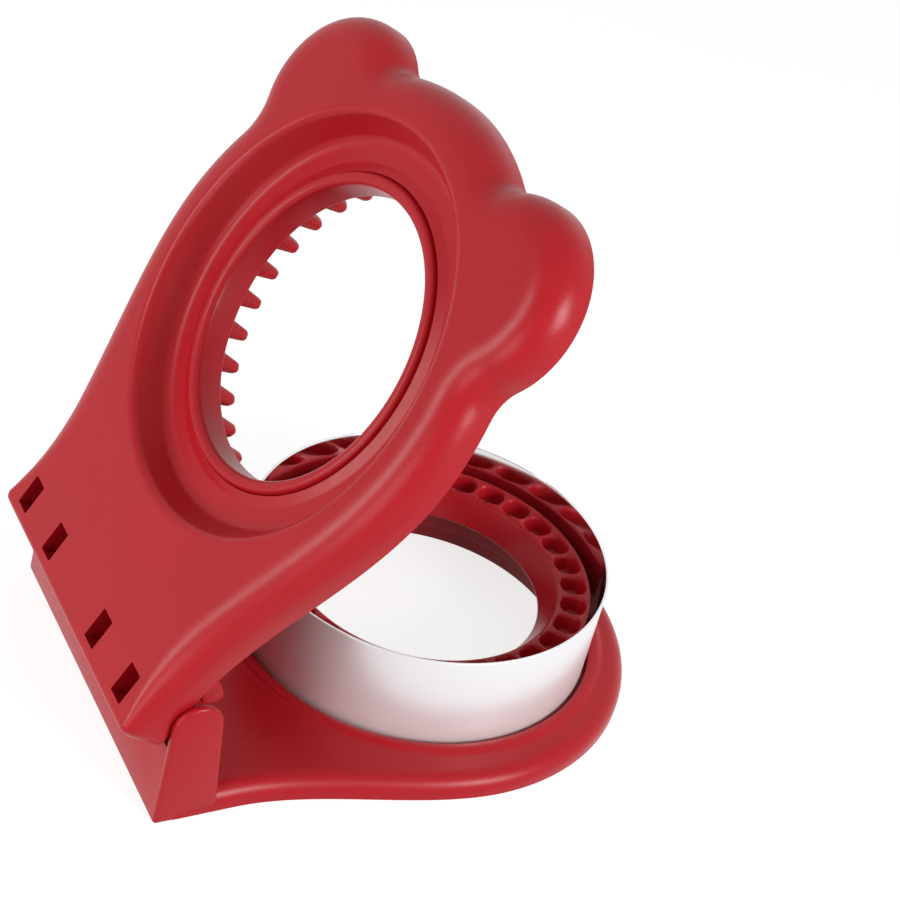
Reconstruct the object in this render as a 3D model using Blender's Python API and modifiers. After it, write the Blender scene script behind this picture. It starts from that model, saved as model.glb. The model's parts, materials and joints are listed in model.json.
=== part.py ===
"""Sandwich cutter and sealer with its lid open, as six separate pieces.

The object stands on a table at z = 0. X runs across it along the hinge axis, Y runs from the
hinge end to the round end, and Z is up. The origin is under the middle of the object's box.
The pieces are modelled in two frames: the base pieces from a point on the table under the hinge
axis, and the lid pieces from the hinge axis itself, with the lid lying flat.
"""

import math

import bmesh
import bpy
from mathutils import Matrix

MM = 0.001

# Fineness of the round shapes
RING_STEPS = 60
ARC_STEP = math.radians(6.0)
PROFILE_STEP = math.radians(30.0)
FILLET_STEPS = 3
EDGE_STEPS = 4
FLARE_STEPS = 12

# Clearances
GAP = 0.3 * MM
OVERRUN = 3.0 * MM
SIDE_PLAY = 0.4 * MM
STOP_PLAY = 0.7 * MM

# Where the ring stands and how the lid is hinged
RING_Y = 77.7 * MM
HINGE_Z = 25.3 * MM
OPEN_ANGLE = math.radians(60.0)
WALL = 2.0 * MM

# Steel cutting band
BAND_RADIUS = 45.0 * MM
BAND_THICKNESS = 0.6 * MM
BAND_RIM_Z = 30.3 * MM
LAP_ANGLE = math.radians(-178.0)
LAP_LENGTH = 12.0 * MM
LAP_DROP = 0.5 * MM

# Base plate
PLATE_HEIGHT = 6.0 * MM
PLATE_RADIUS = 57.8 * MM
PLATE_SETBACK = 2.5 * MM
PLATE_FILLET = 4.0 * MM
PLATE_HINGE_HALF = 45.0 * MM
PLATE_FLARE_START = 12.0 * MM
PLATE_REAR_INSET = 0.25 * MM
LIP_WIDTH = 2.7 * MM
LIP_CREST = 1.3 * MM
LIP_DROP = 0.3 * MM
LIP_RISE = 0.7 * MM
GROOVE_FLOOR_Z = 2.0 * MM
TUBE_TOP_Z = 12.0 * MM
TUBE_WALL = 3.1 * MM

# Hinge block on the base
EAR_THICKNESS = 1.5 * MM
EAR_DRAFT = 0.5 * MM
EAR_ROUND = 5.9 * MM
EAR_ROUND_RISE = 1.3 * MM
BLOCK_BACK_FOOT = 7.4 * MM
BLOCK_FRONT_FOOT = 7.6 * MM
BACK_WALL_TOP_Z = 23.5 * MM
NOTCH_FLOOR_Z = 19.0 * MM
END_NOTCH_DEPTH = 2.0 * MM
SEAT_DEPTH = 0.9 * MM

# Hinge rod and the lid's snap hooks
ROD_RADIUS = 3.8 * MM
ROD_STEPS = 24
HOOK_INNER_X = 15.34 * MM
HOOK_OUTER_X = 33.05 * MM
HOOK_WIDTH = 5.5 * MM
HOOK_PLAY = 1.2 * MM
HOOK_LEG = 3.1 * MM
JAW_STANDOUT = 5.1 * MM
JAW_START = math.radians(-20.0)
JAW_END = math.radians(-56.0)
JAW_TIP = math.radians(-63.0)
REAR_TIP = math.radians(193.0)
JAW_TIP_THICKNESS = 3.4 * MM
HOOK_ROOT = 1.0 * MM
CHEEK_WALL = 0.8 * MM
CHEEK_STEP = 0.1 * MM
CHEEK_OVERLAP = 1.0 * MM
CHEEK_START = math.radians(10.0)

# Lid outline, soft outer edge and skirt
LID_TOP = 15.56 * MM
LID_SKIRT_BOTTOM = 4.5 * MM
LID_HINGE_HALF = 42.5 * MM
LID_FLARE_START = 2.0 * MM
LID_RADIUS = 59.9 * MM
LID_CORNER = 2.8 * MM
EDGE_RISE = 8.0 * MM
EDGE_WIDTH_REAR = 2.5 * MM
EDGE_WIDTH_HEAD = 9.3 * MM
EDGE_RAMP = 30.0 * MM
EAR_ANGLE = math.radians(43.9)
EAR_RADIUS = 21.3 * MM
EAR_STANDOUT = 15.8 * MM
LOW_NOTCH_RADIUS = 10.0 * MM
TOP_NOTCH_RADIUS = 6.0 * MM

# Slots over the hooks
SLOT_WIDTH = 5.1 * MM
SLOT_LENGTH = 8.0 * MM

# Sunk well round the lid's opening
WELL_MARGIN = 3.5 * MM
WELL_FLOOR = 7.2 * MM
WELL_SLOPE = 3.4 * MM
WELL_MOUTH_FILLET = 2.4 * MM
WELL_FLOOR_FILLET = 3.0 * MM

# Toothed press ring
PRESS_PLAY = 2.8 * MM
PRESS_WIDTH = 7.6 * MM
COLLAR_WALL = 3.2 * MM
COLLAR_LIP = 2.0 * MM
COLLAR_BOTTOM = 1.3 * MM
PRESS_FLOOR = 2.0 * MM
TOOTH_COUNT = 30
TOOTH_PHASE = math.radians(6.0)
TOOTH_TIP = -6.6 * MM
TOOTH_TIP_INSET = 1.2 * MM
TOOTH_TIP_LENGTH = 3.1 * MM
TOOTH_TIP_WIDTH = 2.4 * MM
TOOTH_ROOT_LENGTH = 4.4 * MM
TOOTH_ROOT_WIDTH = 5.5 * MM
TOOTH_FILLET = 0.7 * MM
TOOTH_SINK = 1.0 * MM

# Crimp ring inside the band
CRIMP_PLAY = 2.0 * MM
CRIMP_TOP_Z = 22.6 * MM
CRIMP_RIM = 0.9 * MM
CRIMP_TOP_WIDTH = 8.0 * MM
CRIMP_INNER_RIM_DROP = 0.5 * MM
CRIMP_SHOULDER = 2.2 * MM
CRIMP_SLOPE_WIDTH = 4.0 * MM
CRIMP_BORE_DROP = 7.0 * MM
CRIMP_FLOOR = 2.8 * MM
SPIGOT_WALL = 1.5 * MM
SPIGOT_BOTTOM_Z = 5.0 * MM
POCKET_FLOOR_DROP = 4.8 * MM
POCKET_INSET = 4.0 * MM
POCKET_RADIUS = 3.2 * MM
POCKET_BOTTOM_RADIUS = 2.4 * MM
POCKET_CUP = 1.6 * MM
POCKET_STEPS = 12

# Sizes that follow from the ones above
BAND_INNER = BAND_RADIUS - BAND_THICKNESS
TUBE_OUTER = BAND_INNER - GAP
TUBE_INNER = TUBE_OUTER - TUBE_WALL
GROOVE_OUTER = BAND_RADIUS + BAND_THICKNESS + GAP
PLATE_Y = RING_Y - PLATE_SETBACK
EAR_INNER = LID_HINGE_HALF + SIDE_PLAY
EAR_OUTER = EAR_INNER + EAR_THICKNESS
EAR_ROUND_Z = HINGE_Z + EAR_ROUND_RISE
HOOK_BORE = ROD_RADIUS + GAP
HOOK_PLACES = (-HOOK_OUTER_X, -HOOK_INNER_X, HOOK_INNER_X, HOOK_OUTER_X)
CEILING = LID_TOP - WALL
WELL_MOUTH = BAND_RADIUS + WELL_MARGIN
PRESS_OUTER_RADIUS = BAND_INNER - PRESS_PLAY
OPENING_RADIUS = PRESS_OUTER_RADIUS - PRESS_WIDTH
COLLAR_OUTER = OPENING_RADIUS + COLLAR_WALL
CRIMP_RADIUS = BAND_INNER - CRIMP_PLAY
CRIMP_INNER_RIM_RADIUS = CRIMP_RADIUS - CRIMP_TOP_WIDTH
CRIMP_BORE_RADIUS = CRIMP_INNER_RIM_RADIUS - CRIMP_SLOPE_WIDTH
POCKET_CENTRE_RADIUS = CRIMP_RADIUS - POCKET_INSET


def lid_rear():
    """Distance from the hinge axis to the lid's rear face.

    The open lid stops with the inner lower edge of its rear wall against the block's back face.
    """
    slope = (BLOCK_BACK_FOOT - EAR_ROUND) / EAR_ROUND_Z
    cos_open, sin_open = math.cos(OPEN_ANGLE), math.sin(OPEN_ANGLE)
    face = BLOCK_BACK_FOOT - slope * (HINGE_Z + LID_SKIRT_BOTTOM * cos_open)
    inner = (face + STOP_PLAY - LID_SKIRT_BOTTOM * sin_open) / (cos_open - slope * sin_open)
    return inner + WALL


LID_REAR = lid_rear()


def hinge_y():
    """Y of the hinge axis that puts the origin under the middle of the open object's box."""
    back = max(lid_back(math.pi / 2 * i / EDGE_STEPS) for i in range(EDGE_STEPS + 1))
    front = PLATE_Y + PLATE_RADIUS
    return (back - front) / 2


def lid_back(turn):
    """How far a point of the rear edge's rounding lies behind the hinge axis when open."""
    reach = LID_REAR - EDGE_WIDTH_REAR * (1 - math.cos(turn))
    height = LID_TOP - EDGE_RISE * (1 - math.sin(turn))
    return reach * math.cos(OPEN_ANGLE) + height * math.sin(OPEN_ANGLE)


# Points and outlines

def polar(radius, angle, centre=(0.0, 0.0)):
    """Point at a radius and an angle from a centre."""
    return (centre[0] + radius * math.cos(angle), centre[1] + radius * math.sin(angle))


def arc(radius, start, end, centre=(0.0, 0.0), step=ARC_STEP):
    """Points along an arc with both ends."""
    count = max(1, round(abs(end - start) / step))
    return [polar(radius, start + (end - start) * i / count, centre) for i in range(count + 1)]


def ease(share):
    """Smooth step from zero to one."""
    share = min(max(share, 0.0), 1.0)
    return share * share * (3 - 2 * share)


def flare(start, end):
    """S-shaped side from one point to another, along Y at both ends."""
    shares = [i / FLARE_STEPS for i in range(FLARE_STEPS + 1)]
    return [(start[0] + (end[0] - start[0]) * ease(t), start[1] + (end[1] - start[1]) * t)
            for t in shares]


def rounded(corners):
    """Closed outline through corners (x, y, fillet radius), each sharp one with radius zero."""
    points = []
    count = len(corners)
    for i, (x, y, radius) in enumerate(corners):
        if radius == 0:
            points.append((x, y))
            continue
        before, after = corners[i - 1], corners[(i + 1) % count]
        angle_in = math.atan2(y - before[1], x - before[0])
        angle_out = math.atan2(after[1] - y, after[0] - x)
        turn = math.remainder(angle_out - angle_in, math.tau)
        back = radius * math.tan(abs(turn) / 2)
        side = math.copysign(math.pi / 2, turn)
        tangent = polar(-back, angle_in, (x, y))
        centre = polar(radius, angle_in + side, tangent)
        points += arc(radius, angle_in - side, angle_in + turn - side, centre, PROFILE_STEP)
    return points


def mirrored(half):
    """Closed outline from its right half, listed from the rear middle to the front middle."""
    return half + [(-x, y) for x, y in reversed(half) if x > 0]


def plate_outline(inset):
    """Outline of the base plate, drawn inwards by an inset."""
    half = PLATE_HINGE_HALF - inset
    rear = -BLOCK_BACK_FOOT + PLATE_REAR_INSET + inset
    radius = PLATE_RADIUS - inset
    points = [(half, rear)]
    points += flare((half, PLATE_FLARE_START), (radius, PLATE_Y))
    points += arc(radius, 0, math.pi / 2, (0, PLATE_Y))[1:]
    points[-1] = (0, PLATE_Y + radius)
    return mirrored(points)


def crossing(first, first_radius, second, second_radius):
    """Outer crossing point of two circles, on the right of the line from first to second."""
    dx, dy = second[0] - first[0], second[1] - first[1]
    length = math.hypot(dx, dy)
    along = (first_radius ** 2 - second_radius ** 2 + length ** 2) / (2 * length)
    across = math.sqrt(first_radius ** 2 - along ** 2)
    return (first[0] + (along * dx + across * dy) / length,
            first[1] + (along * dy - across * dx) / length)


def bearing(start, end):
    """Direction from one point to another."""
    return math.atan2(end[1] - start[1], end[0] - start[0])


def lid_outline(inset):
    """Eared outline of the lid, drawn inwards by an inset, in the lid's own frame."""
    half = LID_HINGE_HALF - inset
    head = LID_RADIUS - inset
    ear = EAR_RADIUS - inset
    corner = LID_CORNER - inset
    rear = -LID_REAR + inset
    middle = (0, RING_Y)
    lobe = polar(LID_RADIUS + EAR_STANDOUT - EAR_RADIUS, EAR_ANGLE, middle)
    low = crossing(middle, LID_RADIUS + LOW_NOTCH_RADIUS, lobe, EAR_RADIUS + LOW_NOTCH_RADIUS)
    top = crossing(lobe, EAR_RADIUS + TOP_NOTCH_RADIUS, middle, LID_RADIUS + TOP_NOTCH_RADIUS)
    points = arc(corner, -math.pi / 2, 0, (half - corner, rear + corner), PROFILE_STEP)
    points += flare((half, LID_FLARE_START), (head, RING_Y))
    points += arc(head, 0, bearing(middle, low), middle)[1:]
    points += arc(LOW_NOTCH_RADIUS + inset, bearing(middle, low) + math.pi,
                  bearing(lobe, low) + math.pi, low)[1:]
    points += arc(ear, bearing(lobe, low), bearing(lobe, top), lobe)[1:]
    points += arc(TOP_NOTCH_RADIUS + inset, bearing(lobe, top) - math.pi,
                  bearing(middle, top) - math.pi, top)[1:]
    points += arc(head, bearing(middle, top), math.pi / 2, middle)[1:]
    points[-1] = (0, RING_Y + head)
    return mirrored(points)


# Scene and object helpers

def clear_scene():
    """Remove every object that the file opens with."""
    for old in list(bpy.data.objects):
        bpy.data.objects.remove(old, do_unlink=True)


def new_collection(name):
    """Add a collection to the scene."""
    collection = bpy.data.collections.new(name)
    bpy.context.scene.collection.children.link(collection)
    return collection


def new_empty(name, location, rotation, parent, collection):
    """Add an empty that carries a group of pieces."""
    empty = bpy.data.objects.new(name, None)
    empty.empty_display_size = EAR_ROUND
    empty.location = location
    empty.rotation_euler = rotation
    empty.parent = parent
    collection.objects.link(empty)
    return empty


def new_material(name, colour, roughness, metallic):
    """Principled material of one colour."""
    material = bpy.data.materials.new(name)
    material.use_nodes = True
    shader = material.node_tree.nodes["Principled BSDF"]
    shader.inputs["Base Color"].default_value = (*colour, 1.0)
    shader.inputs["Roughness"].default_value = roughness
    shader.inputs["Metallic"].default_value = metallic
    material.diffuse_color = (*colour, 1.0)
    return material


class Workshop:
    """Adds objects to the right collection and under the right parent."""

    def __init__(self, pieces, cutters):
        self.pieces = pieces
        self.cutters = cutters

    def add(self, name, mesh, parent, material=None, location=(0, 0, 0)):
        """Link a mesh as a piece when it has a material, and as a cutter when it has none."""
        obj = bpy.data.objects.new(name, mesh)
        obj.location = location
        obj.parent = parent
        if material is None:
            self.cutters.objects.link(obj)
            obj.hide_render = True
            obj.display_type = "WIRE"
        else:
            self.pieces.objects.link(obj)
            mesh.materials.append(material)
        return obj


def mesh_from(shape, name):
    """Turn a bmesh into a mesh and free it."""
    bmesh.ops.recalc_face_normals(shape, faces=shape.faces)
    mesh = bpy.data.meshes.new(name)
    shape.to_mesh(mesh)
    shape.free()
    return mesh


def skin(shape, rings):
    """Close a stack of matching rings with walls and flat ends."""
    shape.faces.new(rings[0])
    shape.faces.new(rings[-1])
    count = len(rings[0])
    for first, second in zip(rings, rings[1:]):
        for i in range(count):
            k = (i + 1) % count
            shape.faces.new((first[i], first[k], second[k], second[i]))


def prism(name, outline, low, high, fillet_edges=False):
    """Upright prism on an outline; its top edges can carry the weight of a fillet."""
    shape = bmesh.new()
    weight = shape.edges.layers.float.new("bevel_weight_edge")
    bottom = shape.faces.new([shape.verts.new((x, y, low)) for x, y in outline])
    raised = bmesh.ops.extrude_face_region(shape, geom=[bottom])["geom"]
    for vert in (item for item in raised if isinstance(item, bmesh.types.BMVert)):
        vert.co.z = high
    for edge in (item for item in raised if isinstance(item, bmesh.types.BMEdge)):
        edge[weight] = 1.0 if fillet_edges else 0.0
    return mesh_from(shape, name)


def soft_solid(name, inset, low, top, rise):
    """Solid on the lid's outline whose upper edge is rounded in a quarter ellipse.

    The rounding is narrow at the hinge end and wide round the head.
    """
    outline = lid_outline(0)
    moves = [((x1 - x0) / MM, (y1 - y0) / MM)
             for (x0, y0), (x1, y1) in zip(outline, lid_outline(MM))]
    levels = [(low, 0)]
    for i in range(EDGE_STEPS + 1):
        turn = math.pi / 2 * i / EDGE_STEPS
        levels.append((top - rise * (1 - math.sin(turn)), 1 - math.cos(turn)))
    shape = bmesh.new()
    rings = []
    for height, share in levels:
        ring = []
        for (x, y), (dx, dy) in zip(outline, moves):
            width = EDGE_WIDTH_REAR + (EDGE_WIDTH_HEAD - EDGE_WIDTH_REAR) * ease(
                (y + LID_REAR) / EDGE_RAMP)
            depth = inset + (width - inset) * share
            ring.append(shape.verts.new((x + dx * depth, y + dy * depth, height)))
        rings.append(ring)
    skin(shape, rings)
    return mesh_from(shape, name)


def side_prism(shape, outline, left, right):
    """Add a prism along X to a bmesh, on an outline in the YZ plane."""
    face = shape.faces.new([shape.verts.new((left, y, z)) for y, z in outline])
    raised = bmesh.ops.extrude_face_region(shape, geom=[face])["geom"]
    for vert in (item for item in raised if isinstance(item, bmesh.types.BMVert)):
        vert.co.x = right


def side_prisms(name, outlines, spans):
    """Mesh of prisms along X, one for each outline and span."""
    shape = bmesh.new()
    for outline, (left, right) in zip(outlines, spans):
        side_prism(shape, outline, left, right)
    return mesh_from(shape, name)


def box_outline(low, high):
    """Rectangle between two corners."""
    return [low, (high[0], low[1]), high, (low[0], high[1])]


def add_stack(shape, levels, steps, centre=(0.0, 0.0)):
    """Add a solid to a bmesh: circles (radius, z) joined by walls, with flat ends."""
    skin(shape, [[shape.verts.new((*polar(radius, math.tau * i / steps, centre), height))
                  for i in range(steps)] for radius, height in levels])


def repeat_round(shape):
    """Repeat what a bmesh holds round the Z axis, one copy for each tooth."""
    copies = TOOTH_COUNT - 1
    bmesh.ops.rotate(shape, verts=shape.verts, cent=(0, 0, 0),
                     matrix=Matrix.Rotation(TOOTH_PHASE, 3, "Z"))
    bmesh.ops.spin(shape, geom=shape.verts[:] + shape.edges[:] + shape.faces[:],
                   cent=(0, 0, 0), axis=(0, 0, 1), angle=math.tau * copies / TOOTH_COUNT,
                   steps=copies, use_duplicate=True)


def profile_mesh(name, profile):
    """Closed profile of a ring in the XZ plane, listed down its outer side."""
    shape = bmesh.new()
    verts = [shape.verts.new((r, 0, z)) for r, z in profile]
    for first, second in zip(verts, verts[1:] + verts[:1]):
        shape.edges.new((first, second))
    mesh = bpy.data.meshes.new(name)
    shape.to_mesh(mesh)
    shape.free()
    return mesh


def add_screw(obj):
    """Turn the object's profile round its own Z axis."""
    screw = obj.modifiers.new("turn", "SCREW")
    screw.axis = "Z"
    screw.angle = math.tau
    screw.steps = RING_STEPS
    screw.render_steps = RING_STEPS
    screw.use_merge_vertices = True
    screw.merge_threshold = GAP / 100
    screw.use_smooth_shade = False


def add_fillet(obj, width):
    """Round the edges that carry a weight."""
    bevel = obj.modifiers.new("fillet", "BEVEL")
    bevel.width = width
    bevel.segments = FILLET_STEPS
    bevel.limit_method = "WEIGHT"
    bevel.use_clamp_overlap = True


def add_boolean(obj, other, operation):
    """Cut an object with another one, or join it to it."""
    boolean = obj.modifiers.new(f"{operation.lower()} {other.name}", "BOOLEAN")
    boolean.operation = operation
    boolean.solver = "EXACT"
    boolean.object = other


def cut(obj, *others):
    """Cut an object with others."""
    for other in others:
        add_boolean(obj, other, "DIFFERENCE")


def join(obj, *others):
    """Join others to an object."""
    for other in others:
        add_boolean(obj, other, "UNION")


def smooth(obj):
    """Shade the round faces smooth and keep real edges sharp."""
    obj.data.shade_smooth()
    obj.data.set_sharp_from_angle(angle=PROFILE_STEP)


def ring_object(shop, name, profile, parent, material=None):
    """Ring turned round the ring's centre from a closed profile."""
    obj = shop.add(name, profile_mesh(name, profile), parent, material, (0, RING_Y, 0))
    add_screw(obj)
    return obj


def stack_object(shop, name, levels, parent):
    """Round cutter standing on the ring's centre, from circles listed from the top down."""
    shape = bmesh.new()
    add_stack(shape, levels, RING_STEPS)
    return shop.add(name, mesh_from(shape, name), parent, location=(0, RING_Y, 0))


# Base

def ear_outline():
    """Side view of the hinge block: a sloping back, a rounded top and a sloping front."""
    points = [(-BLOCK_BACK_FOOT, 0), (BLOCK_FRONT_FOOT, 0)]
    return points + arc(EAR_ROUND, 0, math.pi, (0, EAR_ROUND_Z), 2 * ARC_STEP)


def block_mesh():
    """Hinge block before it is hollowed, with a slight draft on its ends."""
    mesh = side_prisms("hinge_block", [ear_outline()], [(-EAR_OUTER, EAR_OUTER)])
    for vert in mesh.vertices:
        foot = 1 - vert.co.z / (EAR_ROUND_Z + EAR_ROUND)
        vert.co.x += math.copysign(EAR_DRAFT * foot, vert.co.x)
    return mesh


def block_hollow_meshes():
    """Cutters that leave the block its two ears and its back wall."""
    inner_back = EAR_ROUND - WALL
    far = BLOCK_BACK_FOOT + OVERRUN
    top = EAR_ROUND_Z + EAR_ROUND + OVERRUN
    floor = PLATE_HEIGHT - WALL / 2
    front = side_prisms("block_front_hollow", [box_outline((-inner_back, floor), (far, top))],
                        [(-EAR_INNER, EAR_INNER)])
    over = side_prisms("block_top_hollow",
                       [box_outline((-far, BACK_WALL_TOP_Z), (far, top))],
                       [(-EAR_INNER, EAR_INNER)])
    half_notch = HOOK_WIDTH / 2 + HOOK_PLAY
    outline = box_outline((-far, NOTCH_FLOOR_Z), (0, top))
    notches = side_prisms("hook_notches", [outline] * len(HOOK_PLACES),
                          [(x - half_notch, x + half_notch) for x in HOOK_PLACES])
    outline = box_outline((-far, BACK_WALL_TOP_Z - END_NOTCH_DEPTH), (0, top))
    inner = LID_HINGE_HALF - WALL - SIDE_PLAY
    end_notches = side_prisms("end_notches", [outline, outline],
                              [(-EAR_INNER, -inner), (inner, EAR_INNER)])
    return front, over, notches, end_notches


def cylinder_mesh(name, radius, half_length, steps):
    """Cylinder along X about the hinge axis."""
    outline = [polar(radius, math.tau * i / steps) for i in range(steps)]
    return side_prisms(name, [outline], [(-half_length, half_length)])


def groove_profile():
    """Section of the groove round the band and of the lip's sloping inner side."""
    over = TUBE_TOP_Z + OVERRUN
    foot = PLATE_HEIGHT - LIP_DROP
    slope_end = GROOVE_OUTER + LIP_CREST * (over - foot) / (LIP_DROP + LIP_RISE)
    return [(TUBE_OUTER, over), (slope_end, over), (GROOVE_OUTER, foot),
            (GROOVE_OUTER, GROOVE_FLOOR_Z), (TUBE_OUTER, GROOVE_FLOOR_Z)]


def lip_profile():
    """Section of the raised lip round the groove, before its inner side is cut."""
    low = PLATE_HEIGHT - WALL / 2
    crest = PLATE_HEIGHT + LIP_RISE
    return [(GROOVE_OUTER - GAP, crest), (GROOVE_OUTER + LIP_WIDTH, crest),
            (GROOVE_OUTER + LIP_WIDTH + LIP_CREST, low), (GROOVE_OUTER - GAP, low)]


def make_base(shop, frame, red):
    """Base moulding: plate, lipped band groove, inner tube and hinge block."""
    base = shop.add("base", prism("base", plate_outline(0), 0, PLATE_HEIGHT, True), frame, red)
    add_fillet(base, PLATE_FILLET)

    block = shop.add("hinge_block", block_mesh(), frame)
    for mesh in block_hollow_meshes():
        cut(block, shop.add(mesh.name, mesh, frame))
    seats = shop.add("rod_seats",
                     cylinder_mesh("rod_seats", ROD_RADIUS + GAP, EAR_INNER + SEAT_DEPTH,
                                   ROD_STEPS),
                     frame, location=(0, 0, HINGE_Z))
    riser = stack_object(shop, "tube_riser",
                         [(TUBE_OUTER + WALL, TUBE_TOP_Z), (TUBE_OUTER + WALL, GROOVE_FLOOR_Z / 2)],
                         frame)
    hollow = shop.add("plate_hollow",
                      prism("plate_hollow", plate_outline(WALL), -OVERRUN, PLATE_HEIGHT - WALL),
                      frame)
    boss_radius = GROOVE_OUTER + WALL
    cut(hollow, stack_object(shop, "groove_boss", [(boss_radius, 2 * PLATE_HEIGHT),
                                                   (boss_radius, -2 * OVERRUN)], frame))
    groove = ring_object(shop, "band_groove", groove_profile(), frame)
    bore = stack_object(shop, "base_bore", [(TUBE_INNER, TUBE_TOP_Z + 2 * OVERRUN),
                                            (TUBE_INNER, -OVERRUN)], frame)
    lip = ring_object(shop, "groove_lip", lip_profile(), frame)
    join(base, block, riser, lip)
    cut(base, groove, bore, hollow, seats)
    smooth(base)
    return base


def make_hinge_rod(shop, frame, red):
    """Round bar between the two ears."""
    half = EAR_INNER + SEAT_DEPTH - GAP
    rod = shop.add("hinge_rod", cylinder_mesh("hinge_rod", ROD_RADIUS, half, ROD_STEPS),
                   frame, red, (0, 0, HINGE_Z))
    smooth(rod)
    return rod


# Cutting band and crimp ring

def make_cutter_band(shop, frame, steel):
    """Thin steel band with a lapped seam."""
    low = GROOVE_FLOOR_Z + GAP
    profile = [(BAND_INNER, BAND_RIM_Z), (BAND_RADIUS, BAND_RIM_Z), (BAND_RADIUS, low),
               (BAND_INNER, low)]
    band = ring_object(shop, "cutter_band", profile, frame, steel)
    half_lap = LAP_LENGTH / BAND_RADIUS / 2
    step = half_lap / 2
    outer = arc(BAND_RADIUS + BAND_THICKNESS, LAP_ANGLE - half_lap, LAP_ANGLE + half_lap,
                step=step)
    inner = arc(BAND_RADIUS - BAND_THICKNESS / 2, LAP_ANGLE + half_lap, LAP_ANGLE - half_lap,
                step=step)
    lap = shop.add("band_lap", prism("band_lap", outer + inner, low + LAP_DROP,
                                     BAND_RIM_Z - LAP_DROP),
                   frame, location=(0, RING_Y, 0))
    join(band, lap)
    smooth(band)
    return band


def crimp_profile():
    """Section of the crimp ring: rim, sloping top, bore edge, underside and spigot."""
    seat = TUBE_TOP_Z + GAP
    spigot = TUBE_INNER - GAP
    underside = CRIMP_TOP_Z - POCKET_FLOOR_DROP - CRIMP_FLOOR
    rim_fillet = CRIMP_RIM / 2
    return rounded([
        (CRIMP_RADIUS, CRIMP_TOP_Z, rim_fillet),
        (CRIMP_RADIUS, seat, 0),
        (spigot, seat, 0),
        (spigot, SPIGOT_BOTTOM_Z, 0),
        (spigot - SPIGOT_WALL, SPIGOT_BOTTOM_Z, 0),
        (spigot - SPIGOT_WALL, underside, 0),
        (CRIMP_BORE_RADIUS, underside, 0),
        (CRIMP_BORE_RADIUS, CRIMP_TOP_Z - CRIMP_BORE_DROP, 0),
        (CRIMP_INNER_RIM_RADIUS, CRIMP_TOP_Z - CRIMP_INNER_RIM_DROP, CRIMP_SHOULDER),
        (CRIMP_RADIUS - CRIMP_RIM, CRIMP_TOP_Z, 0),
    ])


def pocket_mesh():
    """Ring of cup-shaped cutters, one for each pocket."""
    shape = bmesh.new()
    floor = CRIMP_TOP_Z - POCKET_FLOOR_DROP
    levels = [(POCKET_RADIUS, CRIMP_TOP_Z + OVERRUN), (POCKET_RADIUS, floor + POCKET_CUP),
              (POCKET_BOTTOM_RADIUS, floor)]
    add_stack(shape, levels, POCKET_STEPS, (POCKET_CENTRE_RADIUS, 0))
    repeat_round(shape)
    return mesh_from(shape, "crimp_pockets")


def make_crimp_ring(shop, frame, red):
    """Scalloped ring that the press ring's teeth crimp the bread into."""
    ring = ring_object(shop, "crimp_ring", crimp_profile(), frame, red)
    pockets = shop.add("crimp_pockets", pocket_mesh(), frame, location=(0, RING_Y, 0))
    cut(ring, pockets)
    smooth(ring)
    return ring


# Lid

def well_levels():
    """Circles of the cutter above the well's surface, with the hole for the collar."""
    hole = COLLAR_OUTER + GAP
    side = rounded([
        (WELL_MOUTH + OVERRUN, LID_TOP, 0),
        (WELL_MOUTH, LID_TOP, WELL_MOUTH_FILLET),
        (WELL_MOUTH - WELL_SLOPE, WELL_FLOOR, WELL_FLOOR_FILLET),
        (hole, WELL_FLOOR, 0),
    ])
    return [(WELL_MOUTH + OVERRUN, LID_TOP + OVERRUN)] + side + [(hole, -OVERRUN)]


def well_boss_levels():
    """Circles of the solid left round the well, one wall thickness outside its surface."""
    lean = WELL_SLOPE / (LID_TOP - WELL_FLOOR)
    return [(WELL_MOUTH + WALL + lean * OVERRUN, LID_TOP + OVERRUN),
            (WELL_MOUTH - WELL_SLOPE + WALL, WELL_FLOOR),
            (WELL_MOUTH - WELL_SLOPE, WELL_FLOOR - WALL)]


def hook_outlines():
    """Side views of a hook's front jaw and rear leg, in the lid's frame."""
    root = CEILING + HOOK_ROOT
    front = HOOK_BORE + HOOK_LEG
    jaw_radius = HOOK_BORE + JAW_STANDOUT
    tip = polar(HOOK_BORE + JAW_TIP_THICKNESS, JAW_TIP)
    jaw = [(HOOK_BORE, root), (front, root), (front, 0)]
    jaw += arc(jaw_radius, JAW_START, JAW_END, step=2 * ARC_STEP)
    jaw += [tip]
    jaw += arc(HOOK_BORE, JAW_TIP, 0, step=2 * ARC_STEP)
    rear = LID_REAR - WALL + GAP
    leg = [(-HOOK_BORE, root), (-HOOK_BORE, 0)]
    leg += [polar(HOOK_BORE, REAR_TIP), polar(rear, REAR_TIP), (-rear, 0), (-rear, root)]
    return jaw, leg


def hooks_mesh():
    """Four snap hooks that clip onto the hinge rod."""
    outlines = []
    spans = []
    for x in HOOK_PLACES:
        for outline in hook_outlines():
            outlines.append(outline)
            spans.append((x - HOOK_WIDTH / 2, x + HOOK_WIDTH / 2))
    return side_prisms("snap_hooks", outlines, spans)


def cheeks_mesh():
    """Thin cheeks that close the sides of each hook between its jaw and its leg."""
    root = CEILING + HOOK_ROOT / 2
    side = HOOK_BORE + CHEEK_OVERLAP
    foot = HOOK_BORE * math.sin(CHEEK_START)
    outline = [(side, root), (side, foot)]
    outline += arc(HOOK_BORE, CHEEK_START, math.pi - CHEEK_START, step=2 * ARC_STEP)
    outline += [(-side, foot), (-side, root)]
    near = SLOT_WIDTH / 2 + CHEEK_STEP
    spans = []
    for x in HOOK_PLACES:
        spans.append((x - near - CHEEK_WALL, x - near))
        spans.append((x + near, x + near + CHEEK_WALL))
    return side_prisms("hook_cheeks", [outline] * len(spans), spans)


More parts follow.
